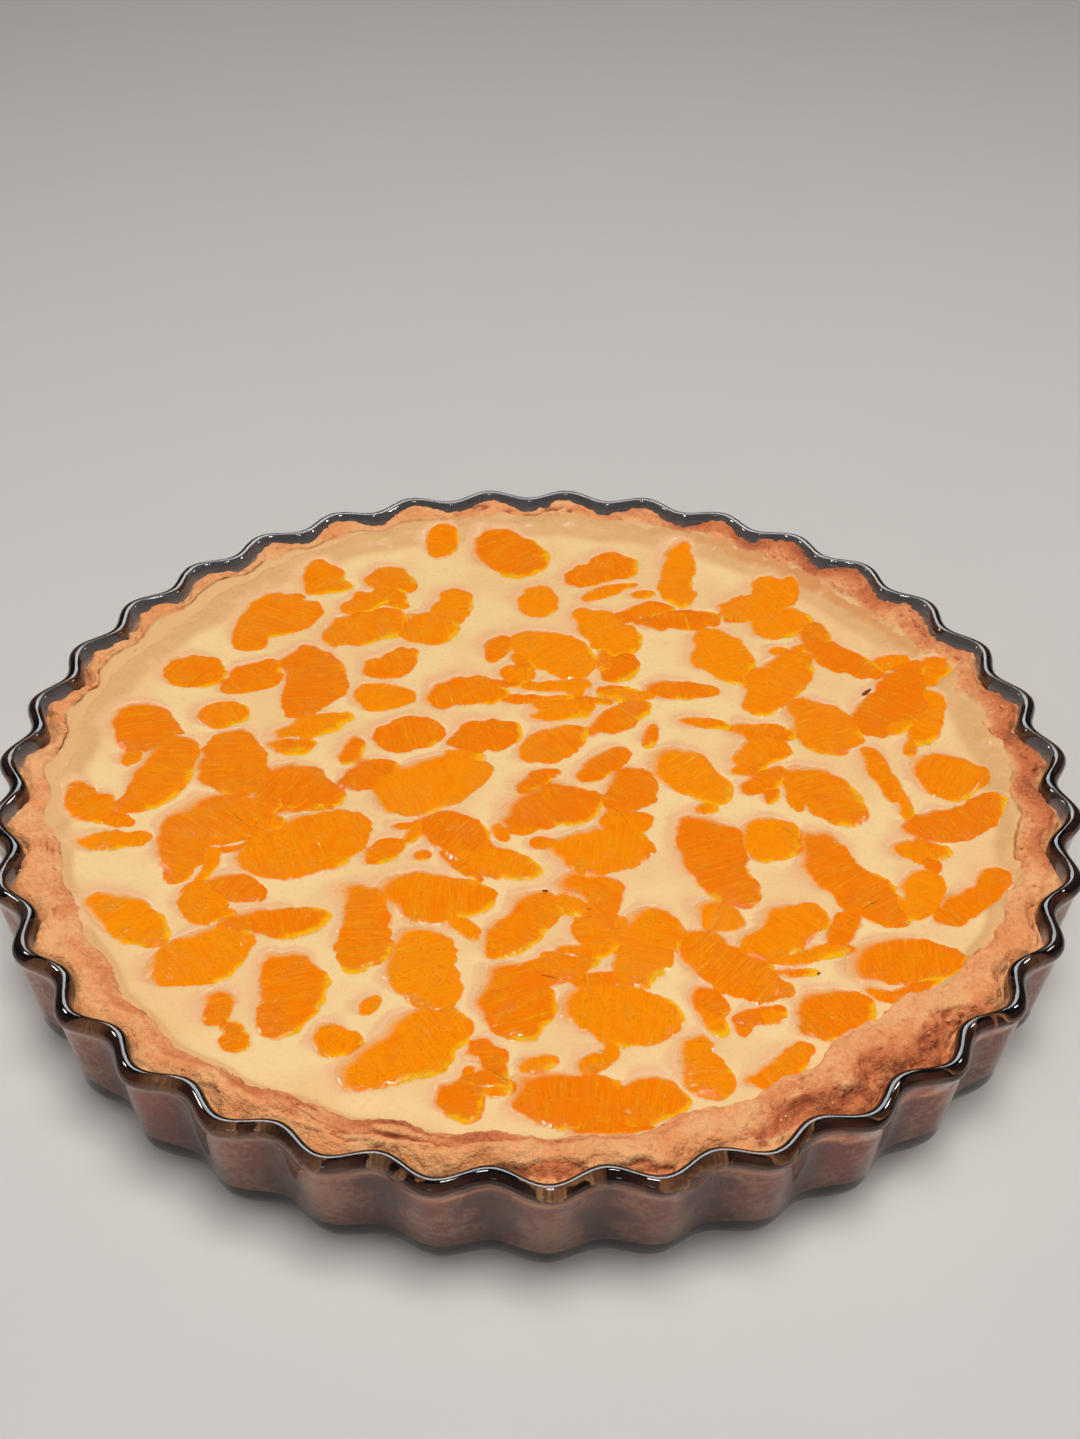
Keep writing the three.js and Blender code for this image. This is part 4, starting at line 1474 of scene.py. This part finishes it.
@dataclass
class Crumbs(Piece):
    """Loose crumbs of shortcrust on the crust's edge."""

    crust: bpy.types.Object
    largest: float = 1.0
    smallest: float = 0.35
    per_square_metre: float = 9000.0
    lowest: float = 29.6
    most_pressed: float = 0.2
    seed: int = 7

    def tree(self) -> bpy.types.NodeTree:
        """The tree that scatters crumbs over a surface."""
        names = {"Density": "NodeSocketFloat", "Smallest": "NodeSocketFloat", "Largest": "NodeSocketFloat"}
        names.update({"Seed": "NodeSocketInt", "Finish": "NodeSocketMaterial"})
        graph, given = new_tree("scatter_crumbs", names)
        sockets = {"Mesh": given["Geometry"], "Density": given["Density"], "Seed": given["Seed"]}
        spots = graph.node("GeometryNodeDistributePointsOnFaces", {}, sockets)
        ball = graph.node("GeometryNodeMeshIcoSphere", {}, {"Radius": 0.5, "Subdivisions": 2})
        place = graph.node("GeometryNodeInputPosition")
        dents = graph.node("ShaderNodeTexNoise", {}, {"Vector": place, "Scale": 2.2}, 1)
        dents = graph.node("ShaderNodeVectorMath", {"operation": "SUBTRACT"}, {0: dents, 1: (0.5, 0.5, 0.5)})
        crumb = graph.node("GeometryNodeSetPosition", {}, {"Geometry": ball, "Offset": dents})
        kind = {"data_type": "FLOAT_VECTOR"}
        spin = graph.node("FunctionNodeRandomValue", kind, {0: (0, 0, 0), 1: (6.28, 6.28, 6.28), 8: 3})
        kind = {"data_type": "FLOAT"}
        limits = {2: given["Smallest"], 3: given["Largest"], 8: 5}
        size = graph.node("FunctionNodeRandomValue", kind, limits, 1)
        sockets = {"Points": spots, "Instance": crumb, "Rotation": spin, "Scale": size}
        scattered = graph.node("GeometryNodeInstanceOnPoints", {}, sockets)
        return end_tree(graph, scattered, given["Finish"])

    def build(self) -> bpy.types.Object:
        """Scatters the crumbs over the crust's bare edge and dresses them."""
        mesh = self.crust.data
        points = points_of(mesh)
        press = np.empty(len(points))
        mesh.attributes["press"].data.foreach_get("value", press)
        open_face = (press < self.most_pressed) & (points[:, 2] > self.lowest)
        faces = [p.vertices[:] for p in mesh.polygons if len(p.vertices) == 4 and open_face[p.vertices[0]]]
        used = sorted({corner for face in faces for corner in face})
        number = {corner: k for k, corner in enumerate(used)}
        faces = [[number[corner] for corner in face] for face in faces]
        crumbs = new_mesh("crumbs", points[used], faces)
        inputs = {"Density": self.per_square_metre, "Seed": self.seed}
        inputs.update({"Smallest": self.smallest * MM, "Largest": self.largest * MM})
        inputs["Finish"] = self.crust.data.materials[0]
        grown(crumbs, self.tree(), inputs)
        return self.settle(crumbs, "crust")


@dataclass
class Studio:
    """The plain floor, the soft light and the camera."""

    eye: Tuple[float, float, float] = (0.0, -412.1, 367.5)
    elevation: float = 0.68034
    yaw: float = 0.00144
    pitch: float = 0.023635
    roll: float = -0.013751
    lens: float = 51.35
    sensor: float = 36.0
    floor_colour: Colour = tone(206, 202, 198)

    # Where the small lamps hang that sparkle on wet fruit.
    GLINTS = ((-560, 460, 860), (600, 400, 840), (30, 240, 1100))

    @staticmethod
    def _turned(first: Vector, second: Vector, angle: float) -> Tuple[Vector, Vector]:
        """Two axes turned in their own plane."""
        cos, sin = math.cos(angle), math.sin(angle)
        return first * cos - second * sin, first * sin + second * cos

    def camera(self) -> None:
        """Makes the camera, in the place that the photograph was taken from."""
        right = Vector((1, 0, 0))
        ahead = Vector((0, math.cos(self.elevation), -math.sin(self.elevation)))
        up = Vector((0, math.sin(self.elevation), math.cos(self.elevation)))
        right, ahead = self._turned(right, ahead, self.yaw)
        up, ahead = self._turned(up, ahead, self.pitch)
        right, up = self._turned(right, up, self.roll)
        data = bpy.data.cameras.new("camera")
        data.sensor_width = self.sensor
        data.lens = self.lens
        data.clip_start = 0.01
        camera = bpy.data.objects.new("camera", data)
        turn = Matrix((right, up, -ahead)).transposed().to_4x4()
        camera.matrix_world = Matrix.Translation(Vector(self.eye) * MM) @ turn
        bpy.context.scene.collection.objects.link(camera)
        bpy.context.scene.camera = camera

    def floor(self) -> None:
        """Makes the pale floor."""
        far = 4000.0
        under_dish = 0.05
        corners = np.array([[-far, -far, 0], [far, -far, 0], [far, far, 0], [-far, far, 0]], float)
        floor = new_mesh("floor", corners - [0, 0, under_dish], [[0, 1, 2, 3]])
        graph = MaterialGraph("pale_floor")
        mottle = graph.cloud(graph.place(), 60.0, 3.0)
        paler = tuple(min(1.0, c * 1.04) for c in self.floor_colour[:3]) + (1.0,)
        sockets = {"Base Color": graph.mix(self.floor_colour, paler, mottle), "Roughness": 0.7}
        floor.data.materials.append(graph.finish(sockets))

    def lamp(
        self, name: str, at: Tuple[float, float, float], size: float, power: float, warm: float
    ) -> bpy.types.Object:
        """Adds one soft square lamp.

        Args:
            name: The lamp's name.
            at: Its place, in millimetres. It faces the pie.
            size: Its side.
            power: Its power in watts.
            warm: How much blue it lacks, or red if it is less than 0.

        Returns:
            The lamp.
        """
        data = bpy.data.lights.new(name, "AREA")
        data.size = size * MM
        data.energy = power
        data.color = (1 + min(warm, 0), 1 - 0.35 * abs(warm), 1 - max(warm, 0))
        lamp = bpy.data.objects.new(name, data)
        lamp.location = Vector(at) * MM
        lamp.rotation_mode = "QUATERNION"
        lamp.rotation_quaternion = (-Vector(at)).to_track_quat("-Z", "Y")
        bpy.context.scene.collection.objects.link(lamp)
        return lamp

    def light(self) -> None:
        """Makes the soft studio light: bright above, darker towards the horizon."""
        world = bpy.data.worlds.new("studio")
        world.use_nodes = True
        graph = Graph(world.node_tree)
        sky = graph.node("ShaderNodeTexCoord", {}, {}, "Generated")
        split = graph.node("ShaderNodeSeparateXYZ", {}, {0: sky}, 2)
        stops = [(0.0, (0.06, 0.058, 0.056, 1)), (1.0, (0.08, 0.08, 0.08, 1))]
        shade = graph.node("ShaderNodeValToRGB", {"stops": stops}, {0: split})
        backdrop = graph.node("ShaderNodeBackground", {}, {"Color": shade, "Strength": 1.0})
        graph.node("ShaderNodeOutputWorld", {}, {"Surface": backdrop})
        bpy.context.scene.world = world
        overhead = self.lamp("overhead", (90, -30, 1200), size=650, power=12.6, warm=0.04)
        overhead.visible_glossy = False
        fill = self.lamp("front_fill", (-450, -450, 1000), size=700, power=1.6, warm=0.03)
        fill.visible_glossy = False
        for number, spot in enumerate(self.GLINTS):
            glint = self.lamp(f"glint_{number}", spot, size=90, power=1.8, warm=0.0)
            glint.visible_diffuse = False
        self.lamp("window", (-250, -1000, 420), size=160, power=0.5, warm=-0.7)
        bpy.context.scene.view_settings.view_transform = "Standard"

    def rim_light(self, dish: bpy.types.Object) -> None:
        """Adds the broad panel whose reflection runs along the top of the glass rim."""
        panel = self.lamp("rim_panel", (0, 1067, 900), size=600, power=9.0, warm=-0.1)
        lit = bpy.data.collections.new("lit_glass")
        lit.objects.link(dish)
        panel.light_linking.receiver_collection = lit

    def build(self) -> None:
        """Makes the floor, the light and the camera."""
        self.camera()
        self.floor()
        self.light()


def plain(box: Sequence[Sequence[float]]) -> List[List[float]]:
    """A box as plain lists of numbers."""
    return [[float(value) for value in corner] for corner in box]


def main() -> None:
    """Builds the pie over the frame, piece by piece."""
    logging.basicConfig(level=logging.INFO, format="%(message)s")
    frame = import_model()
    studio = Studio()
    studio.build()
    dish = GlassDish()
    studio.rim_light(dish.build())
    shell = CrustShell(dish)
    crust = shell.build()
    fruit = Mandarins(frame["nodes"], shell)
    fruit.gather()
    Custard(shell, fruit).build()
    fruit.build()
    Crumbs(crust).build()
    bpy.context.view_layer.update()


if __name__ == "__main__":
    main()
